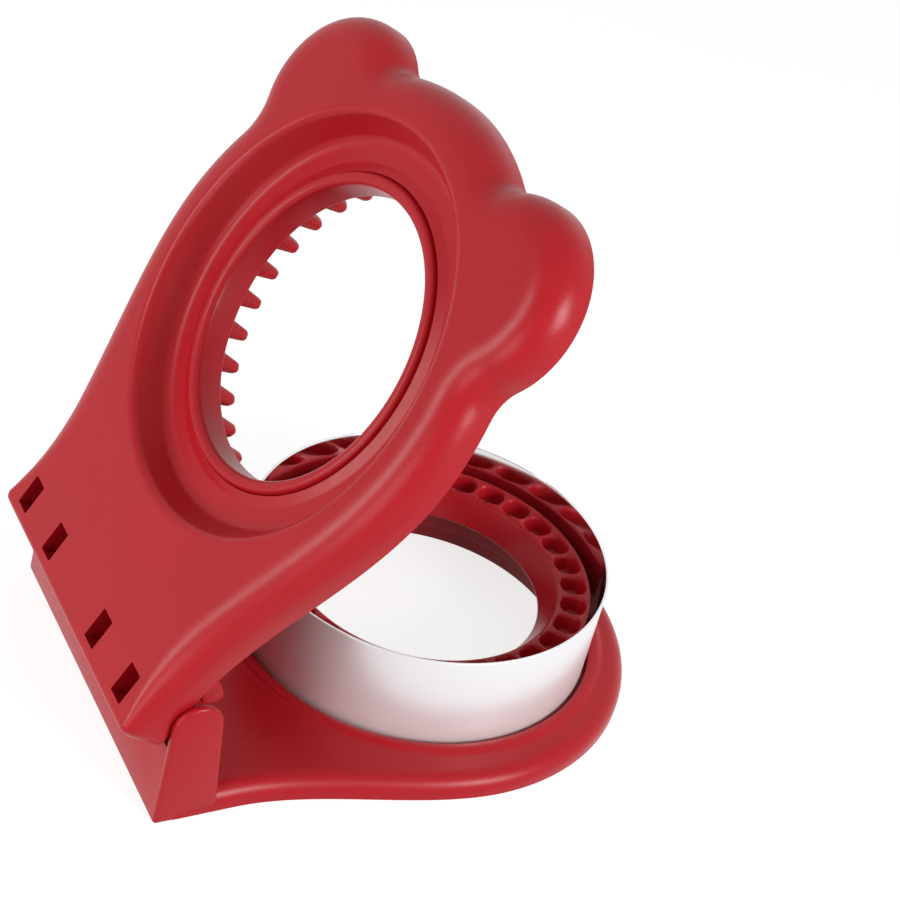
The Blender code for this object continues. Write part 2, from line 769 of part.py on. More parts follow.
def slots_mesh():
    """Four slots through the lid, one over each hook."""
    half = SLOT_LENGTH / 2
    outline = box_outline((-half, CEILING - OVERRUN), (half, LID_TOP + OVERRUN))
    return side_prisms("hook_slots", [outline] * len(HOOK_PLACES),
                       [(x - SLOT_WIDTH / 2, x + SLOT_WIDTH / 2) for x in HOOK_PLACES])


def make_lid(shop, frame, red):
    """Lid moulding: eared shell with a sunk well, slots and snap hooks."""
    lid = shop.add("lid", soft_solid("lid", 0, LID_SKIRT_BOTTOM, LID_TOP, EDGE_RISE), frame, red)
    hollow = shop.add("lid_hollow",
                      soft_solid("lid_hollow", WALL, -OVERRUN, CEILING, EDGE_RISE - WALL), frame)
    cut(hollow, stack_object(shop, "well_boss", well_boss_levels(), frame))
    well = stack_object(shop, "well_cut", well_levels(), frame)
    hooks = shop.add("snap_hooks", hooks_mesh(), frame)
    cheeks = shop.add("hook_cheeks", cheeks_mesh(), frame)
    slots = shop.add("hook_slots", slots_mesh(), frame)
    cut(lid, well, hollow)
    join(hooks, cheeks)
    join(lid, hooks)
    cut(lid, slots)
    smooth(lid)
    return lid


# Press ring

def press_profile():
    """Section of the press ring: lip, collar, floor and outer wall."""
    underside = WELL_FLOOR - WALL - GAP
    lip = WELL_FLOOR + COLLAR_LIP
    floor = COLLAR_BOTTOM + PRESS_FLOOR
    inner_wall = PRESS_OUTER_RADIUS - WALL
    lip_fillet = COLLAR_WALL * 0.45
    return rounded([
        (COLLAR_OUTER, lip, lip_fillet),
        (COLLAR_OUTER, floor, 0),
        (inner_wall, floor, 0),
        (inner_wall, underside, 0),
        (PRESS_OUTER_RADIUS, underside, 0),
        (PRESS_OUTER_RADIUS, COLLAR_BOTTOM, 0),
        (OPENING_RADIUS, COLLAR_BOTTOM, 0),
        (OPENING_RADIUS, lip, lip_fillet),
    ])


def teeth_mesh():
    """Ring of tapered teeth that hang under the press ring."""
    shape = bmesh.new()
    root = COLLAR_BOTTOM + TOOTH_SINK
    tip_middle = PRESS_OUTER_RADIUS - TOOTH_TIP_INSET - TOOTH_TIP_LENGTH / 2
    bmesh.ops.create_cube(shape, size=1.0)
    edges = [edge for edge in shape.edges if any(vert.co.z < 0 for vert in edge.verts)]
    for vert in shape.verts:
        at_tip = vert.co.z < 0
        length = TOOTH_TIP_LENGTH if at_tip else TOOTH_ROOT_LENGTH
        width = TOOTH_TIP_WIDTH if at_tip else TOOTH_ROOT_WIDTH
        vert.co = (tip_middle + vert.co.x * length, vert.co.y * width, TOOTH_TIP if at_tip else root)
    shape.normal_update()
    bmesh.ops.bevel(shape, geom=edges, offset=TOOTH_FILLET, segments=1, profile=0.5,
                    affect="EDGES")
    repeat_round(shape)
    return mesh_from(shape, "press_teeth")


def make_press_ring(shop, frame, red):
    """Toothed ring that fits under the lid's opening."""
    ring = ring_object(shop, "press_ring", press_profile(), frame, red)
    teeth = shop.add("press_teeth", teeth_mesh(), frame, location=(0, RING_Y, 0))
    join(ring, teeth)
    smooth(ring)
    return ring


def main():
    """Build the whole object."""
    clear_scene()
    shop = Workshop(new_collection("sandwich_cutter"), new_collection("cutters"))
    red = new_material("red_plastic", (0.42, 0.012, 0.022), 0.38, 0.0)
    steel = new_material("polished_steel", (0.78, 0.78, 0.79), 0.18, 1.0)
    base_frame = new_empty("base_frame", (0, hinge_y(), 0), (0, 0, 0), None, shop.pieces)
    lid_frame = new_empty("lid_hinge", (0, 0, HINGE_Z), (OPEN_ANGLE, 0, 0), base_frame,
                          shop.pieces)
    make_base(shop, base_frame, red)
    make_cutter_band(shop, base_frame, steel)
    make_crimp_ring(shop, base_frame, red)
    make_hinge_rod(shop, base_frame, red)
    make_lid(shop, lid_frame, red)
    make_press_ring(shop, lid_frame, red)
    bpy.context.view_layer.update()


main()
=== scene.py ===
"""Looks of a hand-pressed sandwich cutter and sealer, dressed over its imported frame.

Every piece is remade with fine round edges, moulded cups and teeth, and gets its own finish.
Lengths are in metres. The base pieces are drawn from a point on the table under the hinge axis,
and the lid pieces from the hinge axis itself with the lid lying flat; both are then put in place.
"""

from __future__ import annotations

import json  # noqa: E402
import logging  # noqa: E402
import math  # noqa: E402
from collections.abc import Callable, Sequence  # noqa: E402
from dataclasses import dataclass  # noqa: E402
from enum import Enum  # noqa: E402

import bmesh  # noqa: E402
import bpy  # noqa: E402
from mathutils import Matrix, Vector  # noqa: E402


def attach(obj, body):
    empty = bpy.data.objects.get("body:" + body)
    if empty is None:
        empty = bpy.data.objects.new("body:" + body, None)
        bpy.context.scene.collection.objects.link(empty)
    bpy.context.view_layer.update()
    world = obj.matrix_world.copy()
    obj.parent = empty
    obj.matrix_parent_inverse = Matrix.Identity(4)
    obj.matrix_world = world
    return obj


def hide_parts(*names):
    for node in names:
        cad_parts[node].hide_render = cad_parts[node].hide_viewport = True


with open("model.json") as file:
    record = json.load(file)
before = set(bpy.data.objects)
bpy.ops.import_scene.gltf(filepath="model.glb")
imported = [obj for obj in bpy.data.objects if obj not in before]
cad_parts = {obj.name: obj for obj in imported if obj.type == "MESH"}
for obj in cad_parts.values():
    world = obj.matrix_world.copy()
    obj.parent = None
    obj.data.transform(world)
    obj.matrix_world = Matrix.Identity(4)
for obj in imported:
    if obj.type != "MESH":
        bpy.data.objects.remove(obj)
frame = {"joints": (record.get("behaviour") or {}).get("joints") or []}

MM = 0.001
RIGHT_ANGLE = math.pi / 2
FINE_STEP = math.radians(11.25)
COARSE_STEP = math.radians(22.5)
EVENNESS = 0.06
WHITE = (1.0, 1.0, 1.0)
BLACK = (0.0, 0.0, 0.0)

log = logging.getLogger("sandwich_cutter")

Point = tuple[float, float]
Colour = tuple[float, float, float]


class Body(Enum):
    """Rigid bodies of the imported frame."""

    BASE = "base_body"
    LID = "lid_body"


class Slot(Enum):
    """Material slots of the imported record."""

    RED = "red_plastic"
    STEEL = "polished_steel"


class Ends(Enum):
    """How a stack of loops is finished."""

    CLOSED_ROUND = "last loop joins the first"
    CAPPED = "flat faces at both ends"


# Outlines and sections


def polar(radius: float, angle: float, centre: Point = (0.0, 0.0)) -> Point:
    """Give the point at a radius and an angle from a centre."""
    return (centre[0] + radius * math.cos(angle), centre[1] + radius * math.sin(angle))


def arc(radius: float, start: float, end: float, centre: Point = (0.0, 0.0),
        step: float = math.radians(3)) -> list[Point]:
    """Draw an arc with both of its ends.

    Args:
        radius: Radius of the arc.
        start: Angle of its first point.
        end: Angle of its last point.
        centre: Centre of the arc.
        step: Angle between two points.

    Returns:
        The points in order.
    """
    count = max(1, round(abs(end - start) / step))
    return [polar(radius, start + (end - start) * i / count, centre) for i in range(count + 1)]


def rounded(corners: Sequence[tuple[float, float, float]], step: float = math.radians(15)
            ) -> list[Point]:
    """Draw a closed outline through corners and round them.

    Args:
        corners: Corners as (x, y, fillet radius); a radius of zero keeps a corner sharp.
        step: Angle between two points of a fillet.

    Returns:
        The points in order.
    """
    points: list[Point] = []
    count = len(corners)
    for i, (x, y, radius) in enumerate(corners):
        if radius == 0:
            points.append((x, y))
            continue
        before, after = corners[i - 1], corners[(i + 1) % count]
        angle_in = math.atan2(y - before[1], x - before[0])
        angle_out = math.atan2(after[1] - y, after[0] - x)
        turn = math.remainder(angle_out - angle_in, math.tau)
        back = radius * math.tan(abs(turn) / 2)
        side = math.copysign(RIGHT_ANGLE, turn)
        centre = polar(radius, angle_in + side, polar(-back, angle_in, (x, y)))
        points += arc(radius, angle_in - side, angle_in + turn - side, centre, step)
    return points


def ease(share: float) -> float:
    """Smooth step from zero to one.

    Args:
        share: Place along the step.

    Returns:
        The eased share.
    """
    share = min(max(share, 0.0), 1.0)
    return share * share * (3 - 2 * share)


def swing(start: Point, end: Point, steps: int = 40) -> list[Point]:
    """Draw an S-shaped side that runs along Y at both of its ends.

    Args:
        start: First point.
        end: Last point.
        steps: Number of stretches.

    Returns:
        The points in order.
    """
    shares = [i / steps for i in range(steps + 1)]
    return [(start[0] + (end[0] - start[0]) * ease(t), start[1] + (end[1] - start[1]) * t)
            for t in shares]


@dataclass(frozen=True)
class Outline:
    """Closed outline round the ring's centre, with what a stack of loops needs at each point."""

    points: list[Vector]
    inward: list[Vector]
    centre: Vector

    @classmethod
    def from_half(cls, half: list[Point], centre: Point, steps: int,
                  turn_weight: float = 7 * MM) -> Outline:
        """Space points along an outline, closer together where it turns.

        Args:
            half: Right half of the outline, from the rear middle to the front middle.
            centre: Centre that the bearings are taken from.
            steps: Number of points round the whole outline, an even number.
            turn_weight: Length that a turn of one radian counts for.

        Returns:
            The outline, counter-clockwise from its rear middle.
        """
        dense = [Vector(p) for p in half]
        reach = [0.0]
        for i in range(1, len(dense)):
            side = dense[i] - dense[i - 1]
            turn = side.angle(dense[i - 1] - dense[i - 2], 0.0) if i > 1 and side.length else 0.0
            reach.append(reach[-1] + side.length + turn_weight * turn)
        count = steps // 2
        right = []
        k = 1
        for i in range(count + 1):
            want = reach[-1] * i / count
            while k < len(reach) - 1 and reach[k] < want:
                k += 1
            span = reach[k] - reach[k - 1]
            share = (want - reach[k - 1]) / span if span else 0.0
            right.append(dense[k - 1].lerp(dense[k], share))
        left = [Vector((-p.x, p.y)) for p in reversed(right[1:-1])]
        points = right + left
        inward = []
        for i, _ in enumerate(points):
            along = points[(i + 1) % steps] - points[i - 1]
            inward.append(Vector((-along.y, along.x)).normalized())
        return cls(points, inward, Vector(centre))

    def loop(self, height: Callable[[Vector], float] | float,
             inset: Callable[[Vector], float] | float = 0.0) -> list[Vector]:
        """Give the outline at a height, drawn inwards.

        Args:
            height: Height of the loop, or a function of the point that gives it.
            inset: How far it is drawn inwards, or a function of the point that gives it.

        Returns:
            The loop's points.
        """
        loop = []
        for point, inward in zip(self.points, self.inward):
            depth = inset(point) if callable(inset) else inset
            moved = point + inward * depth
            loop.append(Vector((*moved, height(point) if callable(height) else height)))
        return loop

    def circle(self, radius: float, height: float, faced: Sequence[Vector]) -> list[Vector]:
        """Give a circle round the centre.

        Args:
            radius: Radius of the circle.
            height: Height of the circle.
            faced: Loop whose points the circle's points face, nearly.

        Returns:
            The circle's points, a little more evenly spaced than what they face.
        """
        circle = []
        for i, point in enumerate(faced):
            real = math.atan2(point.y - self.centre.y, point.x - self.centre.x) + RIGHT_ANGLE
            real = real % math.tau if i else 0.0
            even = math.tau * i / len(faced)
            bearing = real + (even - real) * EVENNESS - RIGHT_ANGLE
            circle.append(Vector((*polar(radius, bearing, self.centre), height)))
        return circle


# Modelling


class Bench:
    """Mesh work done with operators on one object at a time."""

    @staticmethod
    def clear() -> None:
        """Leave nothing selected."""
        if bpy.context.object and bpy.context.object.mode != "OBJECT":
            bpy.ops.object.mode_set(mode="OBJECT")
        bpy.ops.object.select_all(action="DESELECT")

    @staticmethod
    def take(obj: bpy.types.Object) -> None:
        """Select one object alone and make it the active one.

        Args:
            obj: The object.
        """
        Bench.clear()
        obj.select_set(True)
        bpy.context.view_layer.objects.active = obj

    @staticmethod
    def draw(name: str, points: Sequence[Vector], filled: bool = False) -> bpy.types.Object:
        """Start a piece from a circle whose points are put on a closed line.

        Args:
            name: Name of the object and its mesh.
            points: Places of the circle's points.
            filled: Whether the line is filled with one face.

        Returns:
            The object, in edit mode with all of it selected.
        """
        Bench.clear()
        bpy.ops.mesh.primitive_circle_add(
            vertices=len(points), radius=MM, fill_type="NGON" if filled else "NOTHING",
            enter_editmode=True, location=(0, 0, 0))
        obj = bpy.context.object
        obj.name = name
        obj.data.name = name
        shape = bmesh.from_edit_mesh(obj.data)
        for vert, place in zip(shape.verts, points):
            vert.co = place
        shape.normal_update()
        bmesh.update_edit_mesh(obj.data)
        return obj

    @staticmethod
    def extrude_to(obj: bpy.types.Object, before: Sequence[Vector], after: Sequence[Vector]
                   ) -> None:
        """Extrude the selected loop and put its new points in their places.

        Args:
            obj: The object in edit mode.
            before: Places of the selected loop.
            after: Places of the new loop, in the same order.
        """
        shape = bmesh.from_edit_mesh(obj.data)
        held = {tuple(vert.co): vert.co.copy() for vert in shape.verts if vert.select}
        order = {tuple(Vector(place)): i for i, place in enumerate(before)}
        known = {key: order[key] for key in held}
        bpy.ops.mesh.extrude_edges_move(TRANSFORM_OT_translate={"value": (0, 0, 0)})
        shape = bmesh.from_edit_mesh(obj.data)
        for vert in shape.verts:
            if vert.select:
                vert.co = after[known[tuple(vert.co)]]
        bmesh.update_edit_mesh(obj.data)

    @staticmethod
    def tidy(obj: bpy.types.Object, merge: float = MM / 1000) -> None:
        """Merge what meets, turn the faces outwards and leave edit mode.

        Args:
            obj: The object in edit mode. Not used: the operators act on whatever object is in
                edit mode.
            merge: Distance within which points are one.
        """
        bpy.ops.mesh.select_all(action="SELECT")
        bpy.ops.mesh.remove_doubles(threshold=merge)
        bpy.ops.mesh.normals_make_consistent(inside=False)
        bpy.ops.object.mode_set(mode="OBJECT")

    @staticmethod
    def loft(name: str, loops: Sequence[Sequence[Vector]], ends: Ends) -> bpy.types.Object:
        """Make a solid by extruding a loop through a stack of places.

        Args:
            name: Name of the object.
            loops: Matching loops in order.
            ends: How the stack is finished.

        Returns:
            The object in object mode.
        """
        obj = Bench.draw(name, loops[0])
        path = list(loops[1:])
        if ends is Ends.CLOSED_ROUND:
            path.append(loops[0])
        before = loops[0]
        for after in path:
            Bench.extrude_to(obj, before, after)
            before = after
        if ends is Ends.CAPPED:
            bpy.ops.mesh.edge_face_add()
            bpy.ops.mesh.select_all(action="DESELECT")
            first = {tuple(Vector(place)) for place in loops[0]}
            shape = bmesh.from_edit_mesh(obj.data)
            for vert in shape.verts:
                vert.select = tuple(vert.co) in first
            shape.select_flush(True)
            bmesh.update_edit_mesh(obj.data)
            bpy.ops.mesh.edge_face_add()
        Bench.tidy(obj)
        return obj

    @staticmethod
    def turn(name: str, section: Sequence[Point], centre: Vector, steps: int
             ) -> bpy.types.Object:
        """Spin a closed section right round an upright axis.

        Args:
            name: Name of the object.
            section: Points (radius, height) of the section.
            centre: Point on the axis.
            steps: Number of steps round the turn.

        Returns:
            The object in object mode.
        """
        places = [centre + Vector((r, 0, z)) for r, z in section]
        obj = Bench.draw(name, places)
        bpy.ops.mesh.spin(steps=steps, angle=math.tau, center=centre, axis=(0, 0, 1))
        Bench.tidy(obj)
        return obj

    @staticmethod
    def slab(name: str, outline: Sequence[Point], left: float, right: float
             ) -> bpy.types.Object:
        """Extrude a side view across the object.

        Args:
            name: Name of the object.
            outline: Points (y, z) of the side view.
            left: X of one face.
            right: X of the other face.

        Returns:
            The object in object mode.
        """
        obj = Bench.draw(name, [Vector((left, y, z)) for y, z in outline], filled=True)
        bpy.ops.mesh.extrude_region_move(
            TRANSFORM_OT_translate={"value": (right - left, 0, 0)})
        Bench.tidy(obj)
        return obj

    @staticmethod
    def bevel(obj: bpy.types.Object, width: float, segments: int = 3,
              angle: float = math.radians(35)) -> None:
        """Round the edges that turn by more than an angle.

        Args:
            obj: The object.
            width: Width of the rounding.
            segments: Faces across it.
            angle: Smallest turn that is rounded.
        """
        Bench.take(obj)
        modifier = obj.modifiers.new("soft_edges", "BEVEL")
        modifier.width = width
        modifier.segments = segments
        modifier.limit_method = "ANGLE"
        modifier.angle_limit = angle
        modifier.use_clamp_overlap = True
        modifier.miter_outer = "MITER_ARC"
        bpy.ops.object.modifier_apply(modifier=modifier.name)

    @staticmethod
    def combine(obj: bpy.types.Object, other: bpy.types.Object, operation: str) -> None:
        """Cut an object with another one, or join it to it, and use the other one up.

        Args:
            obj: The object that stays.
            other: The object that is used up.
            operation: DIFFERENCE or UNION.
        """
        Bench.take(obj)
        modifier = obj.modifiers.new(operation.lower(), "BOOLEAN")
        modifier.operation = operation
        modifier.solver = "EXACT"
        modifier.object = other
        bpy.ops.object.modifier_apply(modifier=modifier.name)
        mesh = other.data
        bpy.data.objects.remove(other, do_unlink=True)
        bpy.data.meshes.remove(mesh)

    @staticmethod
    def merge(main: bpy.types.Object, *others: bpy.types.Object) -> None:
        """Make several objects one piece, each still a closed shell.

        Args:
            main: The object that stays.
            others: The objects that join it.
        """
        Bench.take(main)
        for other in others:
            other.select_set(True)
        bpy.ops.object.join()

    @staticmethod
    def place(obj: bpy.types.Object, matrix: Matrix) -> None:
        """Put an object in its place and keep the place in its mesh.

        Args:
            obj: The object.
            matrix: Its place.
        """
        Bench.take(obj)
        obj.matrix_world = matrix
        bpy.ops.object.transform_apply(location=True, rotation=True, scale=True)

    @staticmethod
    def shade(obj: bpy.types.Object, angle: float = math.radians(40)) -> None:
        """Shade the round faces smooth and keep real edges crisp."""
        Bench.take(obj)
        bpy.ops.object.shade_smooth_by_angle(angle=angle)


# Shader work


class Value:
    """A shader socket that takes part in Python arithmetic."""

    def __init__(self, bench: Shader, socket: bpy.types.NodeSocket) -> None:
        """Wrap a node's output socket."""
        self.bench = bench
        self.socket = socket

    def _math(self, operation: str, first: Value | float, second: Value | float) -> Value:
        """Add one Math node for an expression."""
        return self.bench.add("ShaderNodeMath", {"operation": operation},
                              {0: first, 1: second})

    def __add__(self, other: Value | float) -> Value:
        """Add."""
        return self._math("ADD", self, other)

    __radd__ = __add__

    def __sub__(self, other: Value | float) -> Value:
        """Take away."""
        return self._math("SUBTRACT", self, other)

    def __rsub__(self, other: float) -> Value:
        """Take this from a number."""
        return self._math("SUBTRACT", other, self)

    def __mul__(self, other: Value | float) -> Value:
        """Multiply."""
        return self._math("MULTIPLY", self, other)

    __rmul__ = __mul__


class Shader:
    """Node tree that is filled by one method."""

    def __init__(self, owner: bpy.types.Material | bpy.types.World) -> None:
        """Clear the owner's tree."""
        owner.use_nodes = True
        self.tree = owner.node_tree
        self.tree.nodes.clear()

    def add(self, kind: str, settings: dict[str, object] | None = None,
            inputs: dict[str | int, object] | None = None, output: str | int = 0) -> Value:
        """Add a node.

        Args:
            kind: The node's type.
            settings: Its settings, such as a Math node's operation.
            inputs: Values or links of its sockets, by name or number.
            output: Name or number of the socket that is given back.

        Returns:
            The wrapped output socket.
        """
        node = self.tree.nodes.new(kind)
        for name, setting in (settings or {}).items():
            setattr(node, name, setting)
        for name, value in (inputs or {}).items():
            if isinstance(value, Value):
                self.tree.links.new(value.socket, node.inputs[name])
            else:
                node.inputs[name].default_value = value
        if not node.outputs:
            return Value(self, None)
        return Value(self, node.outputs[output])

    def places(self) -> Value:
        """Give the piece's own coordinates."""
        return self.add("ShaderNodeTexCoord", output="Object")

    def noise(self, places: Value, scale: float, detail: float = 2.0) -> Value:
        """Give a noise between zero and one."""
        return self.add("ShaderNodeTexNoise", None,
                        {"Vector": places, "Scale": scale, "Detail": detail}, "Fac")

    def stretched(self, places: Value, scale: tuple[float, float, float]) -> Value:
        """Stretch coordinates along the axes."""
        return self.add("ShaderNodeMapping", None, {"Vector": places, "Scale": scale})

    def mix(self, share: Value, first: Colour, second: Colour) -> Value:
        """Blend two colours by a share."""
        return self.add("ShaderNodeMix", {"data_type": "RGBA"},
                        {0: share, 6: (*first, 1.0), 7: (*second, 1.0)}, 2)

    def bump(self, height: Value, distance: float) -> Value:
        """Turn a height into a bumped normal."""
        return self.add("ShaderNodeBump", None,
                        {"Height": height, "Distance": distance, "Strength": 1.0})

    def background_rays(self) -> Value:
        """Say where the surround shows: straight on, in gloss or through something clear.

        Returns:
            One where it shows and zero elsewhere.
        """
        seen = self.add("ShaderNodeLightPath", output="Is Camera Ray")
        for kind in ("Is Glossy Ray", "Is Transmission Ray"):
            ray = self.add("ShaderNodeLightPath", output=kind)
            seen = self.add("ShaderNodeMath", {"operation": "MAXIMUM"}, {0: seen, 1: ray})
        return seen

    def finish(self, shader: Value, kind: str = "ShaderNodeOutputMaterial") -> None:
        """Connect the surface to the output."""
        self.add(kind, None, {"Surface": shader})


@dataclass(frozen=True)
class MouldedPlastic:
    """Red moulded plastic with a fine satin grain and flow marks."""

    name: str
    colour: Colour = (0.46, 0.008, 0.016)
    deep_colour: Colour = (0.40, 0.006, 0.012)
    roughness: float = 0.32
    roughness_spread: float = 0.10
    grain_scale: float = 2600.0
    coarse_ratio: float = 4.0
    fine_share: float = 0.6
    grain_height: float = 0.030 * MM
    flow_scale: float = 28.0
    sheen: float = 0.25

    def material(self) -> bpy.types.Material:
        """Build the material.

        Returns:
            The material.
        """
        material = bpy.data.materials.new(self.name)
        shader = Shader(material)
        places = shader.places()
        flow = shader.noise(places, self.flow_scale, 3.0)
        grain = shader.noise(places, self.grain_scale, 2.0)
        coarse = shader.noise(places, self.grain_scale / self.coarse_ratio, 2.0)
        spread = (flow - 0.5) * self.roughness_spread
        roughness = self.roughness + spread + (coarse - 0.5) * self.roughness_spread
        height = grain * self.fine_share + coarse * (1 - self.fine_share)
        surface = shader.add("ShaderNodeBsdfPrincipled", None, {
            "Base Color": shader.mix(flow, self.deep_colour, self.colour),
            "Roughness": roughness,
            "Normal": shader.bump(height, self.grain_height),
            "Specular IOR Level": self.sheen,
        })
        shader.finish(surface)
        return material


@dataclass(frozen=True)
class RolledSteel:
    """Thin steel strip, polished inside and satin outside, with faint rolling lines."""

    name: str
    centre_y: float
    middle_radius: float
    colour: Colour = (0.90, 0.90, 0.91)
    worn_colour: Colour = (0.82, 0.82, 0.84)
    roughness: float = 0.10
    satin_metallic: float = 0.35
    satin_roughness: float = 0.30
    line_spread: float = 0.06
    cloud_scale: float = 40.0
    line_scale: tuple[float, float, float] = (6.0, 6.0, 900.0)
    line_height: float = 0.002 * MM

    def material(self) -> bpy.types.Material:
        """Build the material.

        Returns:
            The material.
        """
        material = bpy.data.materials.new(self.name)
        shader = Shader(material)
        places = shader.places()
        lines = shader.noise(shader.stretched(places, self.line_scale), 1.0, 3.0)
        cloud = shader.noise(places, self.cloud_scale, 2.0)
        across = shader.add("ShaderNodeMapping", None, {
            "Vector": places, "Location": (0.0, -self.centre_y, 0.0), "Scale": (1.0, 1.0, 0.0)})
        radius = shader.add("ShaderNodeVectorMath", {"operation": "LENGTH"}, {0: across},
                            "Value")
        outside = shader.add("ShaderNodeMath", {"operation": "GREATER_THAN"},
                             {0: radius, 1: self.middle_radius})
        polish = self.roughness + outside * (self.satin_roughness - self.roughness)
        surface = shader.add("ShaderNodeBsdfPrincipled", None, {
            "Base Color": shader.mix(cloud, self.colour, self.worn_colour),
            "Metallic": 1.0 + outside * (self.satin_metallic - 1.0),
            "Roughness": polish + (lines - 0.5) * self.line_spread,
            "Normal": shader.bump(lines, self.line_height),
        })
        shader.finish(surface)
        return material


@dataclass(frozen=True)
class PaleFloor:
    """White sweep that keeps the object's soft shadow."""

    colour: Colour = (0.42, 0.42, 0.42)
    lift: float = 0.78
    roughness: float = 0.9

    def material(self) -> bpy.types.Material:
        """Build the material.

        Returns:
            The material.
        """
        material = bpy.data.materials.new("pale_floor")
        shader = Shader(material)
        surface = shader.add("ShaderNodeBsdfPrincipled", None, {
            "Base Color": (*self.colour, 1.0),
            "Roughness": self.roughness,
            "Specular IOR Level": 0.0,
            "Emission Color": shader.mix(shader.background_rays(), BLACK, WHITE),
            "Emission Strength": self.lift,
        })
        shader.finish(surface)
        return material


# Shared layout


@dataclass(frozen=True)
class Layout:
    """Where the ring stands and how the lid is hinged."""

    ring_y: float = 77.7 * MM
    hinge_z: float = 25.3 * MM
    open_angle: float = math.radians(60.0)
    gap: float = 0.3 * MM
    wall: float = 2.0 * MM
    overrun: float = 3.0 * MM
    hook_places: tuple[float, ...] = (-33.05 * MM, -15.34 * MM, 15.34 * MM, 33.05 * MM)

    @property
    def hinge_y(self) -> float:
        """Y of the hinge axis in the frame."""
        return frame["joints"][0]["pos_m"][1]

    def base_matrix(self) -> Matrix:
        """Place of the base pieces."""
        return Matrix.Translation((0, self.hinge_y, 0))

    def lid_matrix(self) -> Matrix:
        """Place of the lid pieces.

        Returns:
            The matrix.
        """
        turn = Matrix.Rotation(self.open_angle, 4, "X")
        return Matrix.Translation((0, self.hinge_y, self.hinge_z)) @ turn

    def ring_centre(self) -> Vector:
        """Centre of the ring before a piece is put in place."""
        return Vector((0, self.ring_y, 0))


@dataclass
class Piece:
    """One visible piece of the object."""

    name: str
    node: str
    body: Body
    slot: Slot
    layout: Layout
    finish: MouldedPlastic | RolledSteel

    def dress(self, obj: bpy.types.Object, matrix: Matrix) -> bpy.types.Object:
        """Put a modelled piece in place, give it its finish and hand it to the frame.

        Args:
            obj: The modelled object.
            matrix: Its place.

        Returns:
            The finished object.
        """
        Bench.place(obj, matrix)
        obj.data.materials.clear()
        obj.data.materials.append(self.finish.material())
        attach(obj, self.body.value)
        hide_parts(self.node)
        log.info("%s: %d faces", obj.name, len(obj.data.polygons))
        return obj


